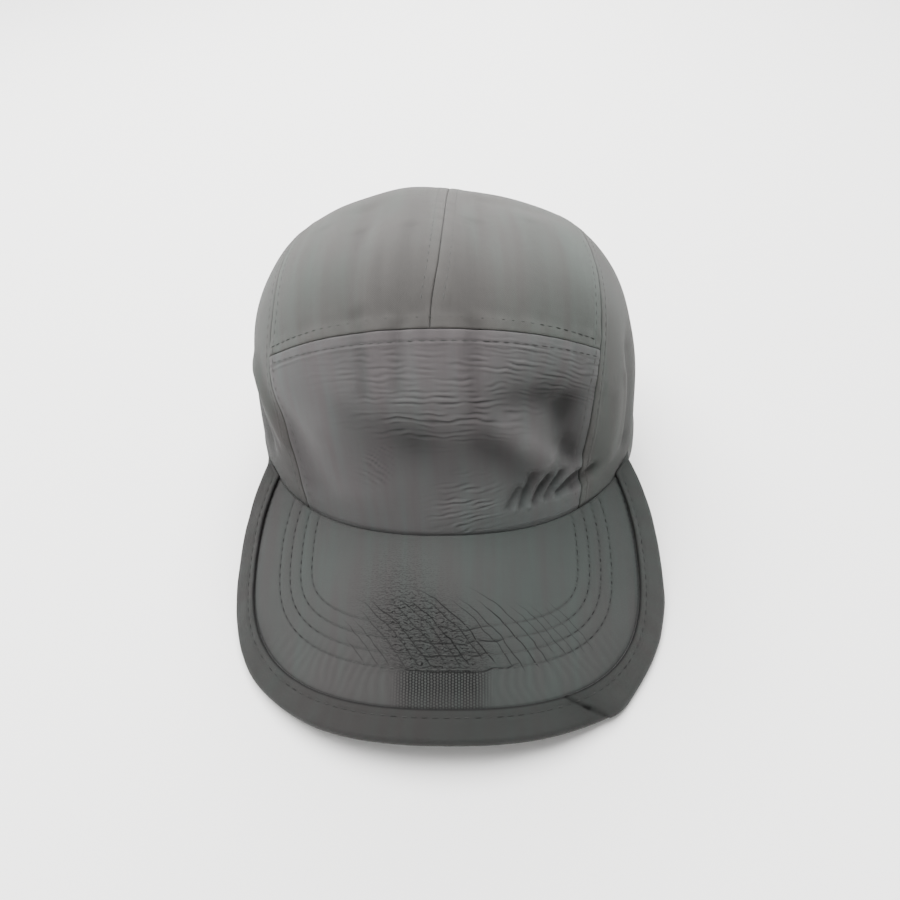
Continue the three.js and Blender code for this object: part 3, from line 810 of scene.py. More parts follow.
def wall_object(name, outer, inner, weave, shares, material):
    """Closed mesh between an outer and an inner grid, with a flat map for the weave."""
    rows, columns = outer.shape[:2]
    count = rows * columns
    points = np.concatenate([outer.reshape(-1, 3), inner.reshape(-1, 3)]) + cap_shift()
    faces = np.concatenate([
        grid_faces(rows, columns, 0, False),
        grid_faces(rows, columns, count, True),
        edge_faces(rows, columns, count),
    ])
    mesh = bpy.data.meshes.new(name)
    mesh.vertices.add(len(points))
    mesh.vertices.foreach_set("co", points.ravel())
    mesh.loops.add(faces.size)
    mesh.loops.foreach_set("vertex_index", faces.ravel())
    mesh.polygons.add(len(faces))
    mesh.polygons.foreach_set("loop_start", np.arange(0, faces.size, 4))
    mesh.update(calc_edges=True)
    flat = np.concatenate([weave.reshape(-1, 2)] * 2)
    mesh.uv_layers.new(name="weave").data.foreach_set("uv", flat[faces.ravel()].ravel())
    # The depth share, painted shade, goes to both faces; the other shares only to the outer face
    for label, values in shares.items():
        layer = mesh.attributes.new(label, "FLOAT", "POINT")
        inside = values.ravel() if label == "depth" else np.zeros(count)
        layer.data.foreach_set("value", np.concatenate([values.ravel(), inside]))
    tidy_mesh(mesh)
    return add_piece(name, mesh, material)


def tidy_mesh(mesh):
    """Joins the points that coincide and turns the faces outward."""
    work = bmesh.new()
    work.from_mesh(mesh)
    bmesh.ops.remove_doubles(work, verts=work.verts, dist=2e-7)
    bmesh.ops.dissolve_degenerate(work, edges=work.edges, dist=1e-7)
    bmesh.ops.recalc_face_normals(work, faces=work.faces)
    work.to_mesh(mesh)
    work.free()


def thread_object(name, paths, thread_shades, material):
    """Rows of stitches. Each path holds the points of one stitch and the cloth's normals there."""
    sides, cap = 6, sizes()
    angle = np.arange(sides) * 2 * math.pi / sides
    points, faces, count = [], [], 0
    for centre, normal in paths:
        aside = unit(np.cross(unit(np.gradient(centre, axis=0)), normal))
        share = np.linspace(0, 1, len(centre))
        radius = cap.thread / 2 * np.sqrt(np.sin(math.pi * np.clip(share, 0.06, 0.94)))
        high = cap.thread * (0.5 * np.sin(math.pi * share) - 0.42)
        middle = centre + normal * high[:, None]
        ring = aside[:, None] * np.cos(angle)[:, None] + normal[:, None] * np.sin(angle)[:, None]
        first = count
        points.append((middle[:, None] + ring * radius[:, None, None]).reshape(-1, 3))
        count += len(points[-1])
        for i in range(len(centre) - 1):
            for j in range(sides):
                k = (j + 1) % sides
                faces.append((first + i * sides + j, first + i * sides + k,
                              first + (i + 1) * sides + k, first + (i + 1) * sides + j))
        last = first + (len(centre) - 1) * sides
        faces.append(tuple(first + j for j in reversed(range(sides))))
        faces.append(tuple(last + j for j in range(sides)))
    mesh = bpy.data.meshes.new(name)
    mesh.from_pydata((np.concatenate(points) + cap_shift()).tolist(), [], faces)
    # Painted shade of each stitch, read by the thread's material
    layer = mesh.attributes.new("tone", "FLOAT", "POINT")
    layer.data.foreach_set("value", np.repeat(thread_shades, [len(block) for block in points]))
    tidy_mesh(mesh)
    piece = add_piece(name, mesh, material)
    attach(piece, "root")
    return piece


def stitch_paths(points, normals, seed):
    """Cuts a line on the cloth into stitches of nearly equal length."""
    cap = sizes()
    lengths = line_lengths(points)
    pitch = cap.stitch + cap.stitch_space
    draw = np.random.default_rng(seed)
    paths = []
    for start in np.arange(pitch / 2, lengths[-1] - pitch, pitch):
        begin = start + draw.uniform(-0.06, 0.06) * pitch
        wanted = np.linspace(begin, begin + cap.stitch * draw.uniform(0.94, 1.04), 6)
        centre, normal = (at_lengths(wanted, lengths, values) for values in (points, normals))
        paths.append((centre, unit(normal)))
    return paths


def surface_normals(surface, way_a, way_b):
    """Normals of a surface given as a function of two values."""
    centre = surface(0, 0)
    normal = np.cross(surface(way_a, 0) - centre, surface(0, way_b) - centre)
    return centre, unit(normal)


# Materials

class Nodes:
    """Short way to add and join the nodes of one material."""

    def __init__(self, name):
        self.material = bpy.data.materials.new(name)
        self.material.use_nodes = True
        self.tree = self.material.node_tree
        self.shader = self.tree.nodes["Principled BSDF"]

    def add(self, kind, inputs=None, **settings):
        node = self.tree.nodes.new(kind)
        for key, value in settings.items():
            setattr(node, key, value)
        for key, value in (inputs or {}).items():
            if isinstance(value, bpy.types.NodeSocket):
                self.tree.links.new(value, node.inputs[key])
            else:
                node.inputs[key].default_value = value
        return node

    def maths(self, operation, *values):
        return self.add("ShaderNodeMath", dict(enumerate(values)), operation=operation).outputs[0]

    def times(self, *values):
        return self.maths("MULTIPLY", *values)

    def plus(self, *values):
        return self.maths("ADD", *values)

    def share(self, name):
        return self.add("ShaderNodeAttribute", attribute_name=name).outputs["Fac"]

    def noise(self, vector, scale, detail=2.0):
        inputs = {"Vector": vector, "Scale": scale, "Detail": detail, "Roughness": 0.5}
        return self.add("ShaderNodeTexNoise", inputs).outputs["Fac"]

    def stretched(self, vector, scale):
        inputs = {"Vector": vector, "Scale": scale}
        return self.add("ShaderNodeMapping", inputs).outputs[0]

    def ramp(self, value, low, high, low_out=0.0, high_out=1.0):
        inputs = {"Value": value, "From Min": low, "From Max": high,
                  "To Min": low_out, "To Max": high_out}
        return self.add("ShaderNodeMapRange", inputs).outputs[0]

    def mix(self, share, first, second, blend="MIX"):
        node = self.add("ShaderNodeMix", data_type="RGBA", blend_type=blend)
        for index, value in ((0, share), (6, first), (7, second)):
            if isinstance(value, bpy.types.NodeSocket):
                self.tree.links.new(value, node.inputs[index])
            else:
                node.inputs[index].default_value = value
        return node.outputs[2]

    def finish(self, colour, rough, normal, specular):
        """Joins the shader's main inputs and gives the material."""
        for name, value in (("Base Color", colour), ("Roughness", rough), ("Normal", normal)):
            self.tree.links.new(value, self.shader.inputs[name])
        self.shader.inputs["Specular IOR Level"].default_value = specular
        return self.material


def rgba(colour, factor=1.0):
    return (*(min(channel * factor, 1.0) for channel in colour), 1.0)


THREAD_PITCH = 0.3 * MM
WEAVE_DEPTH = 0.07 * MM
BEAD_PITCH = (1.05 * MM, 0.98 * MM)


def cloth_material(name, colour, streaky, crease_shaded_and_worn=False):
    """Plain weave in yarns of slightly different greys, with painted shade from the depth attribute
    in its seams, creases and turned-away places, and painted light where that attribute is below
    zero.
    """
    cloth = Nodes(name)
    flat = cloth.add("ShaderNodeUVMap", uv_map="weave").outputs[0]
    place = cloth.add("ShaderNodeTexCoord").outputs["Object"]
    split = cloth.add("ShaderNodeSeparateXYZ", {0: flat})
    u, v = split.outputs[0], split.outputs[1]
    per_thread = math.pi / THREAD_PITCH
    sway = cloth.ramp(cloth.noise(flat, 90.0), 0, 1, -0.9, 0.9)
    warp = cloth.maths("SINE", cloth.plus(cloth.times(u, per_thread), sway))
    weft = cloth.maths("SINE", cloth.plus(cloth.times(v, per_thread), sway))
    over = cloth.times(warp, weft)
    cross = cloth.times(cloth.maths("ABSOLUTE", warp), cloth.maths("ABSOLUTE", weft))
    height = cloth.plus(cloth.times(over, 0.35), cross)

    warp_yarn = cloth.noise(cloth.stretched(flat, (2300, 110, 1)), 1.0, 1.0)
    weft_yarn = cloth.noise(cloth.stretched(flat, (110, 2300, 1)), 1.0, 1.0)
    yarns = cloth.plus(warp_yarn, weft_yarn)
    streaks = cloth.noise(cloth.stretched(flat, (170, 13, 1)), 1.0, 2.0)
    patches = cloth.noise(place, 30.0, 3.0)
    drift = cloth.noise(place, 11.0, 2.0)
    depth = cloth.share("depth")

    warm = rgba((colour[0] * 1.07, colour[1] * 0.98, colour[2] * 0.99))
    cool = rgba((colour[0] * 0.93, colour[1] * 1.03, colour[2] * 0.99))
    hue = cloth.plus(cloth.times(drift, 0.6), cloth.times(streaks, 0.4))
    base = cloth.mix(cloth.ramp(hue, 0.4, 0.6), warm, cool)
    shades = [
        cloth.ramp(yarns, 0.7, 1.3, 0.965, 1.035),
        cloth.ramp(streaks, 0.3, 0.7, 1 - streaky, 1 + streaky),
        cloth.ramp(patches, 0.3, 0.7, 0.96, 1.04),
        # Painted shade in the weave's hollows
        cloth.ramp(height, -0.3, 1.2, 0.93, 1.03),
        # Painted shade from the depth attribute, and painted light where it is below zero
        cloth.ramp(depth, -0.5, 1.5, 1.14, 0.07),
    ]
    fuzz = cloth.noise(flat, 3200.0, 2.0)
    raised = cloth.plus(cloth.times(fuzz, 0.5), height)
    # Painted shade in the peak's creases and crackle, with its worn threads: darker colour and a
    # lower bump
    if crease_shaded_and_worn:
        dark = crease_shade_and_wear_marks(cloth, flat, u, v)
        shades.append(cloth.ramp(dark, 0.0, 1.0, 1.0, 0.1))
        raised = cloth.maths("SUBTRACT", raised, cloth.times(dark, 2.0))
    shade = shades[0]
    for other in shades[1:]:
        shade = cloth.times(shade, other)
    tint = cloth.add("ShaderNodeCombineXYZ", {0: shade, 1: shade, 2: shade}).outputs[0]
    coloured = cloth.mix(1.0, base, tint, "MULTIPLY")

    bump = cloth.add("ShaderNodeBump", {"Strength": 0.7, "Distance": WEAVE_DEPTH, "Height": raised})
    slack = cloth.noise(place, 240.0, 3.0)
    soft = cloth.add("ShaderNodeBump", {"Strength": 0.4, "Distance": 0.2 * MM, "Height": slack,
                                        "Normal": bump.outputs[0]})
    rough = cloth.ramp(cloth.plus(patches, yarns), 1.0, 2.0, 0.84, 0.96)
    cloth.shader.inputs["Sheen Weight"].default_value = 0.08
    cloth.shader.inputs["Sheen Roughness"].default_value = 0.45
    return cloth.finish(coloured, rough, soft.outputs[0], 0.22)


def crease_shade_and_wear_marks(cloth, flat, u, v):
    """Dark marks of the peak: painted shade in its creases and in the crackle between them, and
    beads of thread showing at its worn front.
    """
    def lines(count, thin, thick):
        fraction = cloth.maths("FRACT", cloth.plus(count, 0.5))
        beside = cloth.maths("ABSOLUTE", cloth.maths("SUBTRACT", fraction, 0.5))
        return cloth.ramp(beside, thin, thick, 1.0, 0.0)

    def wrinkles(spacing, length, thin, thick):
        bend = cloth.times(cloth.noise(flat, 0.5 / spacing, 2.0), 2.6)
        count = cloth.plus(cloth.times(v, 1 / spacing), bend)
        breaks = cloth.noise(cloth.stretched(flat, (1 / length, 0.7 / spacing, 1)), 1.0, 1.0)
        return cloth.times(lines(count, thin, thick), cloth.ramp(breaks, 0.42, 0.5))

    crinkle, beads = cloth.share("crinkle"), cloth.share("beads")
    coarse = cloth.times(wrinkles(1.3 * MM, 1.9 * MM, 0.07, 0.17), cloth.ramp(crinkle, 0.25, 0.6))
    fine_shown = cloth.ramp(crinkle, 0.03, 0.6, 0.0, 0.6)
    fine = cloth.times(wrinkles(0.75 * MM, 0.8 * MM, 0.1, 0.24), fine_shown)
    crackle = cloth.maths("MAXIMUM", coarse, fine)
    sway = cloth.ramp(cloth.noise(flat, 260.0, 2.0), 0.3, 0.7, -0.7, 0.7)
    along_u = cloth.plus(cloth.times(u, 2 * math.pi / BEAD_PITCH[0]), sway)
    along_v = cloth.plus(cloth.times(v, 2 * math.pi / BEAD_PITCH[1]), sway)
    column = cloth.maths("COSINE", along_u)
    turns = cloth.maths("COSINE", cloth.times(along_u, 0.5))
    bead = cloth.times(turns, cloth.maths("COSINE", along_v))
    chain = cloth.plus(cloth.times(column, 0.55), cloth.times(bead, 0.75))
    threads = cloth.times(cloth.ramp(chain, -0.45, 0.15, 1.0, 0.0), beads)
    long = cloth.times(lines(cloth.share("line"), 0.028, 0.066), cloth.share("lined"))
    cross = cloth.times(lines(cloth.share("cross"), 0.018, 0.052), cloth.share("crossed"))
    creases = cloth.maths("MAXIMUM", long, cross)
    return cloth.maths("MAXIMUM", cloth.maths("MAXIMUM", crackle, threads), creases)


def thread_material():
    thread = Nodes("sewing_thread")
    place = thread.add("ShaderNodeTexCoord").outputs["Object"]
    tone = thread.share("tone")
    fibres = thread.noise(thread.stretched(place, (1500, 1500, 1500)), 1.0, 2.0)
    light = thread.mix(fibres, rgba(colours().thread, 0.85), rgba(colours().thread, 1.15))
    # Painted shade from the stitches' attribute darkens the thread towards 0.12 of its colour
    base = thread.mix(tone, light, rgba(colours().thread, 0.12))
    bump = thread.add("ShaderNodeBump", {"Strength": 0.4, "Distance": 0.05 * MM, "Height": fibres})
    rough = thread.ramp(fibres, 0.3, 0.7, 0.7, 0.9)
    return thread.finish(base, rough, bump.outputs[0], 0.08)


def material_for(name):
    """Material of one of the cap's cloths or of its thread, made once."""
    cap = colours()
    makers = {
        "top_cloth": lambda: cloth_material("top_cloth", cap.top, 0.1),
        "front_cloth": lambda: cloth_material("front_cloth", cap.front, 0.06),
        "side_cloth": lambda: cloth_material("side_cloth", cap.side, 0.03),
        "peak_cloth": lambda: cloth_material("peak_cloth", cap.peak, 0.05, crease_shaded_and_worn=True),
        "binding_cloth": lambda: cloth_material("binding_cloth", cap.binding, 0.05),
        "sewing_thread": thread_material,
    }
    if name not in KNOWN:
        KNOWN[name] = makers[name]()
    return KNOWN[name]


# Panels of the crown

def seam_spread(column, turn, aside):
    """Sideways place of a seam, moved aside by a distance on the cloth."""
    side = -1 if column == "left" else 1
    spread = side * seam_at(column, turn)
    radius = axis_distance(smooth_crown(direction(turn, spread)))
    return spread + aside * np.hypot(1, seam_slope(column, turn)) / radius


def front_panel_ways(rows, columns):
    cap = sizes()
    up, over = np.meshgrid(rows, columns, indexing="ij")
    across = 2 * over - 1
    top = front_seam_turn(across)
    margin = cap.seam_gap / 2 / axis_distance(smooth_crown(direction(top, 0.0)))
    corner = across * side_seam(across, 0.0)
    bottom = hem_angle(corner, -np.ones(corner.shape))
    turn = bottom + (top - margin - bottom) * up
    left = seam_spread("left", turn, cap.seam_gap / 2)
    right = seam_spread("right", turn, -cap.seam_gap / 2)
    return direction(turn, np.where(across < 0, -across * left, across * right))


def top_panel_ways(side, rows, columns):
    cap = sizes()
    column = "left" if side < 0 else "right"
    up, over = np.meshgrid(rows, columns, indexing="ij")
    start = front_seam_turn(over)
    margin = cap.seam_gap / 2 / axis_distance(smooth_crown(direction(start, 0.0)))
    spread_end = side * over * seam_at(column, math.pi)
    end = math.pi - hem_angle(spread_end, np.ones(over.shape))
    turn = end + (start + margin - end) * up
    middle = seam_spread("centre", turn, side * cap.seam_gap / 2)
    edge = seam_spread(column, turn, -side * cap.seam_gap / 2)
    return direction(turn, middle + (edge - middle) * over)


def side_panel_ways(side, rows, columns):
    cap = sizes()
    column = "left" if side < 0 else "right"
    first = hem_angle(side * seam_at(column, 0.0), np.array(-1.0))
    last = math.pi - hem_angle(side * seam_at(column, math.pi), np.array(1.0))
    turn = first + (last - first) * columns
    seam = direction(turn, seam_spread(column, turn, side * cap.seam_gap / 2))
    flat = np.hypot(seam[:, 0], seam[:, 1])
    top = np.arctan2(seam[:, 2], flat)
    bottom = hem_angle(seam[:, 0] / flat, seam[:, 1] / flat)
    top[[0, -1]] = bottom[[0, -1]]
    elevation = bottom[None] + (top - bottom)[None] * rows[:, None]
    level = np.cos(elevation) / flat[None]
    return np.stack([seam[None, :, 0] * level, seam[None, :, 1] * level, np.sin(elevation)], -1)


def crown_piece(name, panel, ways, slot):
    outer, inner, depth, away = crown_wall(ways, panel)
    size = sizes().front
    if "side" in panel:
        base = smooth_crown(ways)
        azimuth = np.arctan2(base[..., 0], -base[..., 1])
        weave = np.stack([azimuth * size, base[..., 2]], -1)
    else:
        weave = np.stack([away["spread"] * size, away["turn"] * size], -1)
    # The depth share is the panel's painted shade
    piece = wall_object(name, outer, inner, weave, {"depth": depth}, material_for(slot))
    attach(piece, "root")
    return piece


def crown_stitches(name, turn, spread, seed, tone, fade=1.0):
    """One row of stitches on the crown, along given turns and spreads. fade is the share of its
    painted shade that is left at its left end, so the row darkens towards its right end."""
    step = 0.002
    sample = direction(turn, spread)

    def surface(more_turn, more_spread):
        way = direction(turn + more_turn, spread + more_spread)
        return crown_wall(way, "middle")[0]

    centre, normal = surface_normals(surface, step, step)
    facing = np.sign(np.sum(normal * sample, -1, keepdims=True))
    paths = stitch_paths(centre, normal * facing, seed)
    # Painted shade that differs from stitch to stitch
    thread_shades = tone * np.random.default_rng(seed).uniform(0.4, 1.3, len(paths))
    towards_right = smooth(np.array([path[0][:, 0].mean() for path in paths]), -0.02, 0.03)
    thread_shades = thread_shades * (fade + (1 - fade) * towards_right)
    return thread_object(name, paths, np.clip(thread_shades, 0, 1), material_for("sewing_thread"))


# Steps and length of each panel's grid, from its bottom up and across it
PANEL_GRIDS = dict(
    front=((320, 0.085), (128, 0.12)),
    top=((190, 0.2), (70, 0.06)),
    side=((100, 0.1), (190, 0.23)),
)


class CAP_OT_crown(bpy.types.Operator):
    """Sew the five cloth panels of the crown"""

    bl_idname = "cap.crown"
    bl_label = "Crown panels"

    def execute(self, context):
        grids = {name: [edged_steps(*way) for way in ways] for name, ways in PANEL_GRIDS.items()}
        front, top, side = grids["front"], grids["top"], grids["side"]
        pieces = (
            ("front_cloth_panel", "front", front_panel_ways(*front), "front_cloth",
             (0.140, 0.098), "front_panel"),
            ("top_cloth_left", "left_top", top_panel_ways(-1, *top), "top_cloth",
             (0.080, 0.245), "top_panel_left"),
            ("top_cloth_right", "right_top", top_panel_ways(1, *top), "top_cloth",
             (0.080, 0.245), "top_panel_right"),
            ("side_cloth_left", "left_side", side_panel_ways(-1, *side), "side_cloth",
             (0.225, 0.105), "side_panel_left"),
            ("side_cloth_right", "right_side", side_panel_ways(1, *side), "side_cloth",
             (0.225, 0.105), "side_panel_right"),
        )
        for name, panel, ways, slot, flat, node in pieces:
            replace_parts(crown_piece(name, panel, ways, slot), node)
        return {"FINISHED"}


class CAP_OT_peak(bpy.types.Operator):
    """Cover the bent peak with cloth"""

    bl_idname = "cap.peak"
    bl_label = "Peak"

    def execute(self, context):
        cap = sizes()
        middle, half, _, _ = board_levels()
        start = binding_start()
        edge = board_inset()
        out_steps = crowded_steps(edged_steps(140, 0.075), 0.62, 0.3, 1.6)
        over_steps = crowded_steps(edged_steps(290, 0.2), 0.5, 0.2, 1.9)
        azimuths = np.linspace(0, math.pi / 2, 1441)
        corner = abs(inside_outline(np.array([start]), np.array([edge]))[0, 0])
        surfaces = []
        for above in (middle + half, middle - half):
            seam = peak_seam(azimuths, above, cap.peak_gap)
            end = float(np.interp(corner, seam[:, 0], azimuths))
            inner_edge = peak_seam(-end + 2 * end * over_steps, above, cap.peak_gap)
            rim = inside_outline(start + (1 - 2 * start) * over_steps, edge)
            surfaces.append(inner_edge + (rim - inner_edge) * out_steps[:, None, None])
        upper, lower = surfaces
        rise, depth = peak_rise(upper)
        roll = rounded_edge(np.minimum(out_steps, 1 - out_steps)[:, None] * 0.07, half * 0.8)
        tip = cap_tip()
        outer = tipped(peak_point(upper[..., 0], upper[..., 1], middle + half + rise - roll), tip)
        inner = tipped(peak_point(lower[..., 0], lower[..., 1], middle - half + roll), tip)
        # The depth share is the peak's painted shade
        shares = {"depth": depth, **peak_marks(upper)}
        piece = wall_object("peak_cloth_cover", outer, inner, upper, shares,
                            material_for("peak_cloth"))
        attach(piece, "root")
        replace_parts(piece, "peak")
        return {"FINISHED"}


def outline_distance(place):
    """Distance on the board from each place to the peak's outline."""
    edge = outline(np.linspace(0, 1, 500))
    flat = place.reshape(-1, 2)
    nearest = np.empty(len(flat))
    for first in range(0, len(flat), 4000):
        block = flat[first:first + 4000]
        away = np.linalg.norm(block[:, None] - edge[None], axis=-1)
        nearest[first:first + 4000] = away.min(axis=1)
    return nearest.reshape(place.shape[:-1])


def peak_row_insets():
    cap = sizes()
    first = cap.binding_width + PEAK_ROWS["first"] * MM
    return [first + i * PEAK_ROWS["spacing"] * MM for i in range(PEAK_ROWS["count"])]


def counted(values, lines):
    """Where values lie between numbered lines, the nearest line, and whether any is near."""
    last, margin = len(lines) - 1, 5.0
    marks = np.concatenate([[lines[0] - margin], lines, [lines[-1] + margin]])
    count = np.interp(values, marks, np.arange(-1, last + 2))
    nearest = np.clip(np.round(count), 0, last).astype(int)
    return count, nearest, (count > -0.5) & (count < last + 0.5)


def crease_lines(place):
    """Count of the long and of the cross creases up to each place, how much the nearest of each
    shows in relief and as painted shade, and the depth of their relief."""
    x, y = place[..., 0] / MM, place[..., 1] / MM
    rule, seed = LONG_CREASES, sizes().seed
    draw = np.random.default_rng(seed + 9)
    wobble = 0.4 * soft_noise(place, 0.009, seed + 10) + 0.14 * soft_noise(place, 0.0032, seed + 12)
    steep = np.sqrt(np.maximum(rule["slope"] ** 2 + 4 * rule["bend"] * (y - rule["start"]), 0.04))
    curve = x - (steep - rule["slope"]) / (2 * rule["bend"]) + wobble
    lines = np.arange(rule["first"], rule["last"], rule["spacing"])
    lines = lines + draw.uniform(-1, 1, len(lines)) * rule["jitter"]
    begin = rule["start"] + np.maximum(0, -lines - 30) * 0.45 + draw.uniform(-3, 4, len(lines))
    end = rule["end"] - np.abs(draw.normal(size=len(lines))) * 2 - np.maximum(0, lines - 5) * 0.3
    strength = 0.42 + 0.63 * bell(lines - rule["deepest"], rule["spread"])
    strength = strength * draw.uniform(0.7, 1.1, len(lines))
    count, near, close = counted(curve, lines)
    shown = smooth(y, begin[near], begin[near] + 7) * (1 - smooth(y, end[near] - 2.5, end[near]))
    shown = shown * strength[near] * close
    away = np.abs(curve - lines[near]) * steep / np.hypot(1, steep)
    cross = {key: np.array([row[key] for row in CROSS_CREASES]) for key in CROSS_CREASES[0]}
    level = y + CROSS_BEND * (x - 3) ** 2 + wobble
    cross_count, near, close = counted(level, cross["along"])
    left, right = cross["left"][near], cross["right"][near]
    cross_shown = 0.8 * smooth(x, left, left + 4) * (1 - smooth(x, right - 8, right)) * close
    cross_away = np.abs(level - cross["along"][near])
    reliefs = [shown * bell(away, rule["reach"]), cross_shown * bell(cross_away, rule["reach"])]
    shares = {"line": count, "lined": shown, "cross": cross_count, "crossed": cross_shown}
    return shares, np.maximum(*reliefs)


def painted_front_shade(place):
    """Where painted shade darkens the peak's front."""
    return bell(place[..., 0] - 0.004, 0.045) * smooth(place[..., 1], 0.02, 0.05)


def peak_marks(place):
    """Shares of the crackle that gets painted shade and of showing threads at each place on the
    peak.
    """
    x, y = place[..., 0] / MM, place[..., 1] / MM
    left, right, start, end = (BEADED[key] for key in ("left", "right", "start", "end"))
    away = from_segment(place / MM, np.array(CRINKLED["start"]), np.array(CRINKLED["end"]))
    crinkle = bell(away, CRINKLED["reach"]) * (0.4 + 0.6 * smooth(y, 18, 40))
    crinkle = crinkle * (1 - smooth(y, start - 0.5, start + 1))
    beads = smooth(x, left - 4, left + 5) * (1 - smooth(x, right - 5, right + 4))
    beads = beads * smooth(y, start - 1, start) * (1 - 0.4 * smooth(y, 55, end))
    return {"crinkle": crinkle, "beads": beads, **crease_lines(place)[0]}


def peak_rise(place):
    """Small relief of the cloth on the peak, and its painted shade: darker in its rows of stitches,
    creases, crinkles, the groove by the binding, over the front and on the sides, with painted
    light near the crown.
    """
    cap = sizes()
    inset = outline_distance(place)
    across, along = place[..., 0], place[..., 1]
    front = smooth(along, 0.018, 0.034) * bell(across - 0.004, 0.036)
    insets, half_space = peak_row_insets(), PEAK_ROWS["spacing"] * MM / 2
    rows = sum(bell(inset - row, 0.42 * MM) for row in insets) * (1 - 0.9 * front)
    between = sum(bell(inset - row - half_space, 1.6 * MM) for row in insets[:-1])
    creases = crease_lines(place)[1]
    crinkle = peak_marks(place)["crinkle"]
    turned = np.stack([across + 0.7 * along, along - 0.5 * across], -1)
    small = soft_noise(turned * (1.0, 1.7), 0.0021, cap.seed + 11, 16)
    fan = np.arctan2(across, along + 0.03) * 0.085
    wobble = soft_noise(place, 0.02, cap.seed + 5) * 0.0012
    ripples = np.sin(2 * math.pi * (fan + wobble) / 0.0034) * bell(inset - 0.021, 0.009)
    ripples = ripples * smooth(along, 0.026, 0.045) * (1 - 0.8 * bell(across, 0.016))
    slack = soft_noise(place, 0.03, cap.seed + 6)
    rise = (-0.16 * rows + 0.1 * between - LONG_CREASES["rise"] * creases + 0.08 * crinkle * small
            + 0.06 * ripples + 0.18 * slack) * MM
    groove = bell(inset - cap.binding_width - 0.1 * MM, 0.4 * MM)
    rise = rise - 0.12 * MM * groove
    # Painted shade of the peak, with painted light near the crown
    depth = (0.5 * rows + 0.25 * creases - 0.12 * crinkle * small - 0.1 * ripples + 0.75 * groove
             + 0.4 * painted_front_shade(place) + 0.25 * crinkle + 0.2 * smooth(np.abs(across), 0.045, 0.075)
             - 0.35 * bell(across, 0.045) * (1 - smooth(along, 0.006, 0.028)))
    return rise, np.clip(depth, *PAINTED_SHADE_RANGE)


# Binding: lap where its ends overlap. inner, outer, reach and shaded are shares of the outline's
# length, and hole is how far the small gap under the lap lies from the outline.
LAP = dict(inner=0.63, outer=0.672, reach=0.05, rise=0.75 * MM, hole=5.5 * MM, shaded=0.655)
# Where the strip stands further out than the board's even outline
BULGES = table(
    "share reach out",
    (0.318, 0.03, -0.5 * MM),
    (0.688, 0.036, 1.4 * MM),
    (0.837, 0.07, 3.2 * MM),
    (0.94, 0.07, 1.9 * MM),
)
BULGE_FADE = 9 * MM
END_WIDTH = 0.4 * MM
# Steps over the flat part of the strip, closer together at its inner edge
FLAT_STEPS = np.array([0.0, 0.035, 0.08, 0.15, 0.24, 0.32, 0.4, 0.46, 0.52, 0.58, 0.66, 0.78,
                       0.9, 1.0])


def binding_relief(share, inset):
    """Thickness added by the lap at the binding's ends and by small puckers, and painted shade in
    the lap's sag, in its hole, at its outer corner and around it.
    """
    cap = sizes()
    line = LAP["outer"] + (LAP["inner"] - LAP["outer"]) * np.clip(inset / cap.binding_width, 0, 1)
    length = outline_length()
    past = (share - line) * length
    lap = smooth(past, -0.25 * MM, 0.35 * MM) * (1 - smooth(past, 0.004, LAP["reach"] * length))
    sag = -bell(past + 0.8 * MM, 0.9 * MM)
    place = np.stack([share * length, inset], -1)
    slack = soft_noise(place, 0.012, cap.seed + 8)
    hole = bell(past + 0.6 * MM, 0.9 * MM) * bell(inset - LAP["hole"], 1.0 * MM)
    end = bell(past + 0.6 * MM, 0.9 * MM) * (1 - smooth(inset, 0.6 * MM, 2 * MM))
    rise = LAP["rise"] * lap + 0.12 * MM * sag + 0.1 * MM * slack - 0.5 * MM * hole
    # Painted shade in the lap's sag, its hole and its outer corner, and around the lap
    depth = np.clip(-0.4 * sag, 0, 1) + 1.3 * hole + 0.9 * end
    return rise, depth + 0.35 * bell(share - LAP["shaded"], 0.035)


def binding_section(above, below):
    """Distances from the outline and heights of the folded strip's outer and inner faces."""
    cap = sizes()
    _, _, inner_half, outer_half = board_levels()
    wall = cap.binding_wall
    bend = np.linspace(0, math.pi / 2, 7)[1:]
    begin = 2.2 * wall
    inside = begin - wall
    bends = (
        (begin * (1 - np.sin(bend)), outer_half * np.cos(bend), outer_half),
        (wall + inside * (1 - np.sin(bend)), inner_half * np.cos(bend) ** 0.6, inner_half),
    )
    faces = []
    for bend_inset, bend_height, half in bends:
        halves = []
        for width, side in ((above, 1), (below, -1)):
            first = np.maximum(width, begin + 0.1 * MM)
            flat = first[:, None] + (begin - first)[:, None] * FLAT_STEPS
            turn = np.broadcast_to(bend_inset, (len(width), len(bend)))
            inset = np.minimum(np.concatenate([flat, turn], 1), width[:, None])
            turned = np.broadcast_to(bend_height, turn.shape)
            halves.append((inset, side * np.concatenate([np.full(flat.shape, half), turned], 1)))
        (top, top_height), (under, under_height) = halves
        faces.append((np.concatenate([top, under[:, -2::-1]], 1),
                      np.concatenate([top_height, under_height[:, -2::-1]], 1)))
    return faces


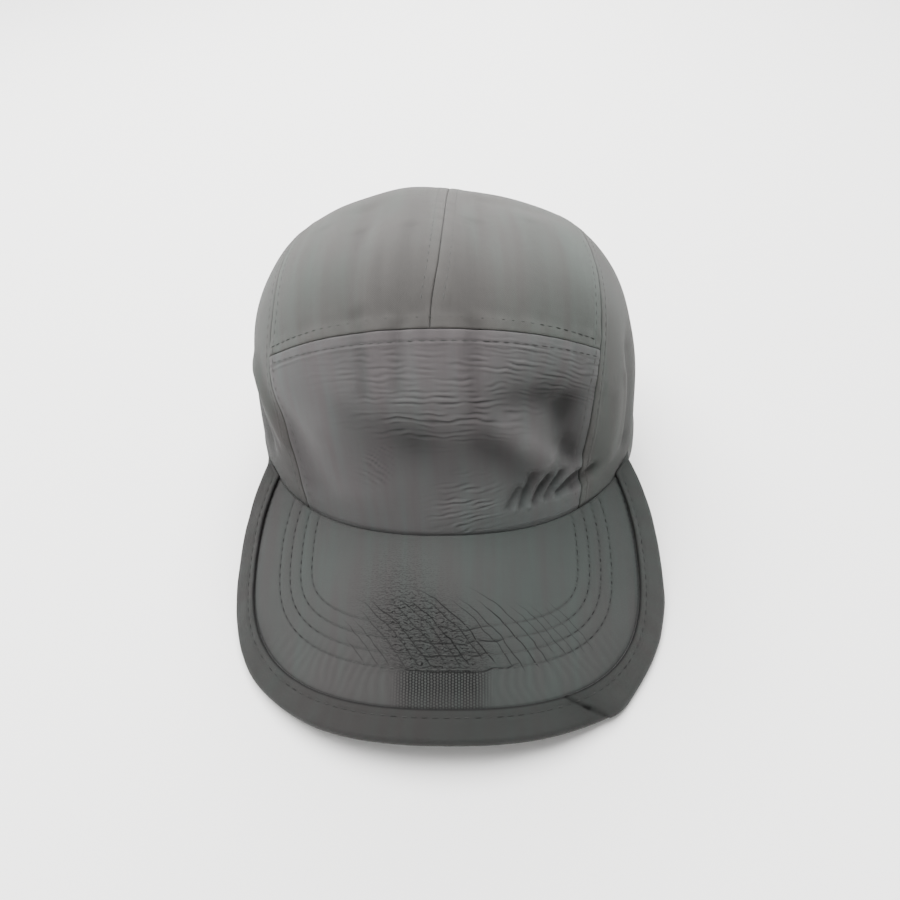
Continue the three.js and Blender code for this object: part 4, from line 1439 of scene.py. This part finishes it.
class CAP_OT_binding(bpy.types.Operator):
    """Fold the binding strip round the peak's edge"""

    bl_idname = "cap.binding"
    bl_label = "Peak binding"

    def execute(self, context):
        cap = sizes()
        middle, _, _, outer_half = board_levels()
        length = outline_length()
        share = np.linspace(0, 1, 621)[4:-4]
        width = np.maximum(strip_width(share, cap.peak_gap, middle + outer_half), END_WIDTH)
        below = np.maximum(strip_width(share, cap.peak_gap, middle - outer_half), END_WIDTH)
        (out_inset, out_height), (in_inset, in_height) = binding_section(width, below)
        shares = np.broadcast_to(share[:, None], out_inset.shape)
        relief, depth = binding_relief(shares, out_inset)
        upper = smooth(out_height / outer_half, -0.2, 0.6)
        edge = np.minimum(width[:, None] - out_inset, 1) / MM
        roll = 0.3 * (1 - np.clip(edge, 0, 1)) ** 2 * MM
        near_edge = np.clip(1 - np.abs(out_inset) / (3 * MM), 0, 1)
        grow = relief * upper
        height = out_height + grow * (1 - near_edge) - roll * np.sign(out_height)
        row = bell(out_inset - (width[:, None] - BINDING_ROW), 0.5 * MM) * 0.14 * MM
        height = height - row * np.sign(out_height)
        tip = cap_tip()
        grids = []
        bulge = sum(row["out"] * bell(shares - row["share"], row["reach"]) for row in BULGES)
        for inset, above in ((out_inset - grow * near_edge, height), (in_inset, in_height)):
            outward = bulge * np.clip(1 - inset / BULGE_FADE, 0, 1)
            place = inside_outline(shares, inset - outward)
            grid = tipped(peak_point(place[..., 0], place[..., 1], middle + above), tip)
            if not grids:
                lift = np.maximum(FLOOR_GAP - grid[..., 2].min(axis=1), 0)
            grid[..., 2] += lift[:, None] * np.clip(1 - inset / BULGE_FADE, 0, 1)
            grid[..., 2] = np.maximum(grid[..., 2], FLOOR_GAP / 2)
            grids.append(grid)
        weave = np.stack([shares * length, out_inset * np.sign(out_height)], -1)
        flat = inside_outline(shares, out_inset)
        # Painted shade at the strip's inner edge, over the peak's front and on its left side
        depth = depth + 1.5 * bell(edge, 0.5) + 0.3 * painted_front_shade(flat)
        depth = depth + 0.22 * smooth(-flat[..., 0], 0.05, 0.08)
        piece = wall_object("binding_strip", *grids, weave, {"depth": depth},
                            material_for("binding_cloth"))
        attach(piece, "root")
        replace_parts(piece, "peak_binding")
        return {"FINISHED"}


# How much painted shade darkens the threads, from 0 for the thread's own colour to 1 for nearly
# black
THREAD_SHADE_LEVELS = dict(binding=0.77, peak=0.54, peak_sides=0.44, left=0.08, right=0.2, centre=0.0)
# Rows beside the front seam: their name, side, painted shade, and the share of that shade left at
# their left end
FRONT_SEAM_ROWS = table(
    "label side tone fade",
    ("upper", 1, 0.9, 0.6),
    ("lower", -1, 0.6, 0.2),
)
# Rows on the peak end this far from the crown
ROW_END = 1.2 * MM


def peak_stitches(name, inset, seed, on_binding=False):
    cap = sizes()
    middle, half, _, outer_half = board_levels()
    start = binding_start()
    share = np.linspace(start, 1 - start, 900)
    place = inside_outline(share, inset)
    clear = clear_of_crown(place, 0.0, cap.peak_gap) > ROW_END
    share, place = share[clear], place[clear]
    level = middle + (outer_half if on_binding else half)

    def surface(more_across, more_along):
        moved = place + (more_across, more_along)
        if on_binding:
            rise = binding_relief(*np.broadcast_arrays(share, inset))[0] - 0.1 * MM
        else:
            rise = peak_rise(moved)[0]
        return tipped(peak_point(moved[..., 0], moved[..., 1], level + rise), cap_tip())

    centre, normal = surface_normals(surface, 0.4 * MM, -0.4 * MM)
    normal = normal * np.sign(normal[:, 2:3])
    paths = stitch_paths(centre, normal, seed)
    aside = np.array([abs(path[0][:, 0].mean()) for path in paths])
    # Painted shade of the peak's rows, darker towards the sides, and of the binding's row
    thread_shades = THREAD_SHADE_LEVELS["peak"] + THREAD_SHADE_LEVELS["peak_sides"] * smooth(aside, 0.036, 0.056)
    if on_binding:
        thread_shades = THREAD_SHADE_LEVELS["binding"]
    thread_shades = thread_shades * np.random.default_rng(seed).uniform(0.75, 1.15, len(paths))
    return thread_object(name, paths, np.clip(thread_shades, 0, 1), material_for("sewing_thread"))


class CAP_OT_stitches(bpy.types.Operator):
    """Sew the rows of stitches on the crown, the peak and the binding"""

    bl_idname = "cap.stitches"
    bl_label = "Stitches"

    def execute(self, context):
        cap = sizes()
        offset = SEAM_STITCHES["offset"]
        for index, inset in enumerate(peak_row_insets()):
            peak_stitches(f"peak_stitches_{index + 1}", inset, 20 + index)
        peak_stitches("binding_stitches", cap.binding_width - BINDING_ROW, 30, on_binding=True)
        across = np.linspace(-0.985, 0.985, 500)
        turn = front_seam_turn(across)
        spread = across * side_seam(across, turn)
        radius = axis_distance(smooth_crown(direction(turn, 0.0)))
        for row in FRONT_SEAM_ROWS:
            beside = turn + row["side"] * offset / radius
            crown_stitches(f"front_seam_stitches_{row['label']}", beside, spread,
                           40 + row["side"], row["tone"], row["fade"])
        turn = np.linspace(math.radians(44.5), math.pi + 0.005, 700)
        for side, label in ((-1, "left"), (1, "right")):
            spread = seam_spread("centre", turn, side * offset)
            crown_stitches(f"centre_seam_stitches_{label}", turn, spread, 50 + side,
                           THREAD_SHADE_LEVELS["centre"])
        turn = np.linspace(0.03, math.pi - 0.02, 900)
        for column, side in (("left", -1), ("right", 1)):
            for way, label in ((1, "outer"), (-1, "inner")):
                spread = seam_spread(column, turn, side * way * offset)
                crown_stitches(f"side_seam_stitches_{column}_{label}", turn, spread,
                               60 + 2 * side + way, THREAD_SHADE_LEVELS[column])
        return {"FINISHED"}


# Stage

class CAP_OT_stage(bpy.types.Operator):
    """Lay the pale floor, set the soft lights and place the camera"""

    bl_idname = "cap.stage"
    bl_label = "Floor, lights and camera"

    def execute(self, context):
        stage = context.scene.cap_stage
        self.floor(stage)
        self.lights(context, stage)
        self.camera(context, stage)
        return {"FINISHED"}

    def floor(self, stage):
        reach, rise, bend = 4.0, 3.0, 1.2
        profile = [(-reach, 0.0), (reach - bend, 0.0)]
        for i in range(1, 13):
            angle = i / 12 * math.pi / 2
            profile.append((reach - bend + bend * math.sin(angle), bend * (1 - math.cos(angle))))
        profile.append((reach, rise))
        points = [(x, y, z) for x in (-reach, reach) for y, z in profile]
        count = len(profile)
        faces = [(i, i + count, i + count + 1, i + 1) for i in range(count - 1)]
        mesh = bpy.data.meshes.new("pale_floor")
        mesh.from_pydata(points, [], faces)
        paint = Nodes("pale_floor")
        paint.shader.inputs["Base Color"].default_value = rgba(stage.floor)
        paint.shader.inputs["Roughness"].default_value = 0.9
        paint.shader.inputs["Specular IOR Level"].default_value = 0.1
        floor = add_piece("pale_floor", mesh, paint.material)

    def lights(self, context, stage):
        lamps = (
            ("light_above", stage.top_light, 1.6, (-0.2, 0.35, 1.3)),
            ("light_in_front", stage.fill_light, 1.0, (-0.6, -1.1, 0.9)),
            ("light_behind", stage.back_light, 1.4, (0.0, 2.1, 1.0)),
        )
        for name, power, size, place in lamps:
            lamp = bpy.data.lights.new(name, "AREA")
            lamp.energy = power
            lamp.size = size
            holder = bpy.data.objects.new(name, lamp)
            holder.location = place
            aim = Vector((0, max(0.0, place[1] - 0.9), 0.05)) - Vector(place)
            holder.rotation_euler = aim.to_track_quat("-Z", "Y").to_euler()
            context.collection.objects.link(holder)
        world = bpy.data.worlds.new("surroundings")
        world.use_nodes = True
        world.node_tree.nodes["Background"].inputs[0].default_value = (1.0, 0.995, 0.985, 1.0)
        world.node_tree.nodes["Background"].inputs[1].default_value = stage.sky
        context.scene.world = world

    def camera(self, context, stage):
        azimuth, elevation, roll, tip = stage.azimuth, stage.elevation, stage.roll, cap_tip()
        flat = math.cos(elevation)
        back = np.array([math.sin(azimuth) * flat, -math.cos(azimuth) * flat, math.sin(elevation)])
        aim = np.array([stage.aside, stage.ahead, stage.above])
        level_right = unit(np.cross(-back, (0, 0, 1)))
        level_up = np.cross(level_right, -back)
        right = level_right * math.cos(roll) + level_up * math.sin(roll)
        up = level_up * math.cos(roll) - level_right * math.sin(roll)
        origin = tipped(np.zeros(3), tip)
        place = tipped(aim + back * stage.distance, tip) + cap_shift()
        axes = [tipped(axis, tip) - origin for axis in (right, up, back)]
        lens = bpy.data.cameras.new("camera")
        lens.lens = stage.lens
        lens.sensor_width = 36.0
        lens.clip_start = 0.01
        holder = bpy.data.objects.new("camera", lens)
        turned = Matrix([list(row) for row in np.array(axes).T]).to_4x4()
        holder.matrix_world = Matrix.Translation(Vector(place)) @ turned
        context.collection.objects.link(holder)
        context.scene.camera = holder


class CAP_PT_sidebar(bpy.types.Panel):
    """Sizes, colours and steps of the cap"""

    bl_idname = "CAP_PT_sidebar"
    bl_label = "Five Panel Cap"
    bl_space_type = "VIEW_3D"
    bl_region_type = "UI"
    bl_category = "Cap"

    def draw(self, context):
        scene = context.scene
        for group in (scene.cap_sizes, scene.cap_colours, scene.cap_stage):
            box = self.layout.box()
            for name in group.__annotations__:
                box.prop(group, name)
        for operator in OPERATORS:
            self.layout.operator(operator.bl_idname)


OPERATORS = (CAP_OT_stage, CAP_OT_crown, CAP_OT_peak, CAP_OT_binding, CAP_OT_stitches)
CLASSES = (CapSizes, CapColours, CapStage, *OPERATORS, CAP_PT_sidebar)


def register():
    for item in CLASSES:
        bpy.utils.register_class(item)
    bpy.types.Scene.cap_sizes = PointerProperty(type=CapSizes)
    bpy.types.Scene.cap_colours = PointerProperty(type=CapColours)
    bpy.types.Scene.cap_stage = PointerProperty(type=CapStage)


def unregister():
    for name in ("cap_stage", "cap_colours", "cap_sizes"):
        delattr(bpy.types.Scene, name)
    for item in reversed(CLASSES):
        bpy.utils.unregister_class(item)


def main():
    register()
    bpy.ops.cap.stage()
    bpy.ops.cap.crown()
    bpy.ops.cap.peak()
    bpy.ops.cap.binding()
    bpy.ops.cap.stitches()


if __name__ == "__main__":
    main()
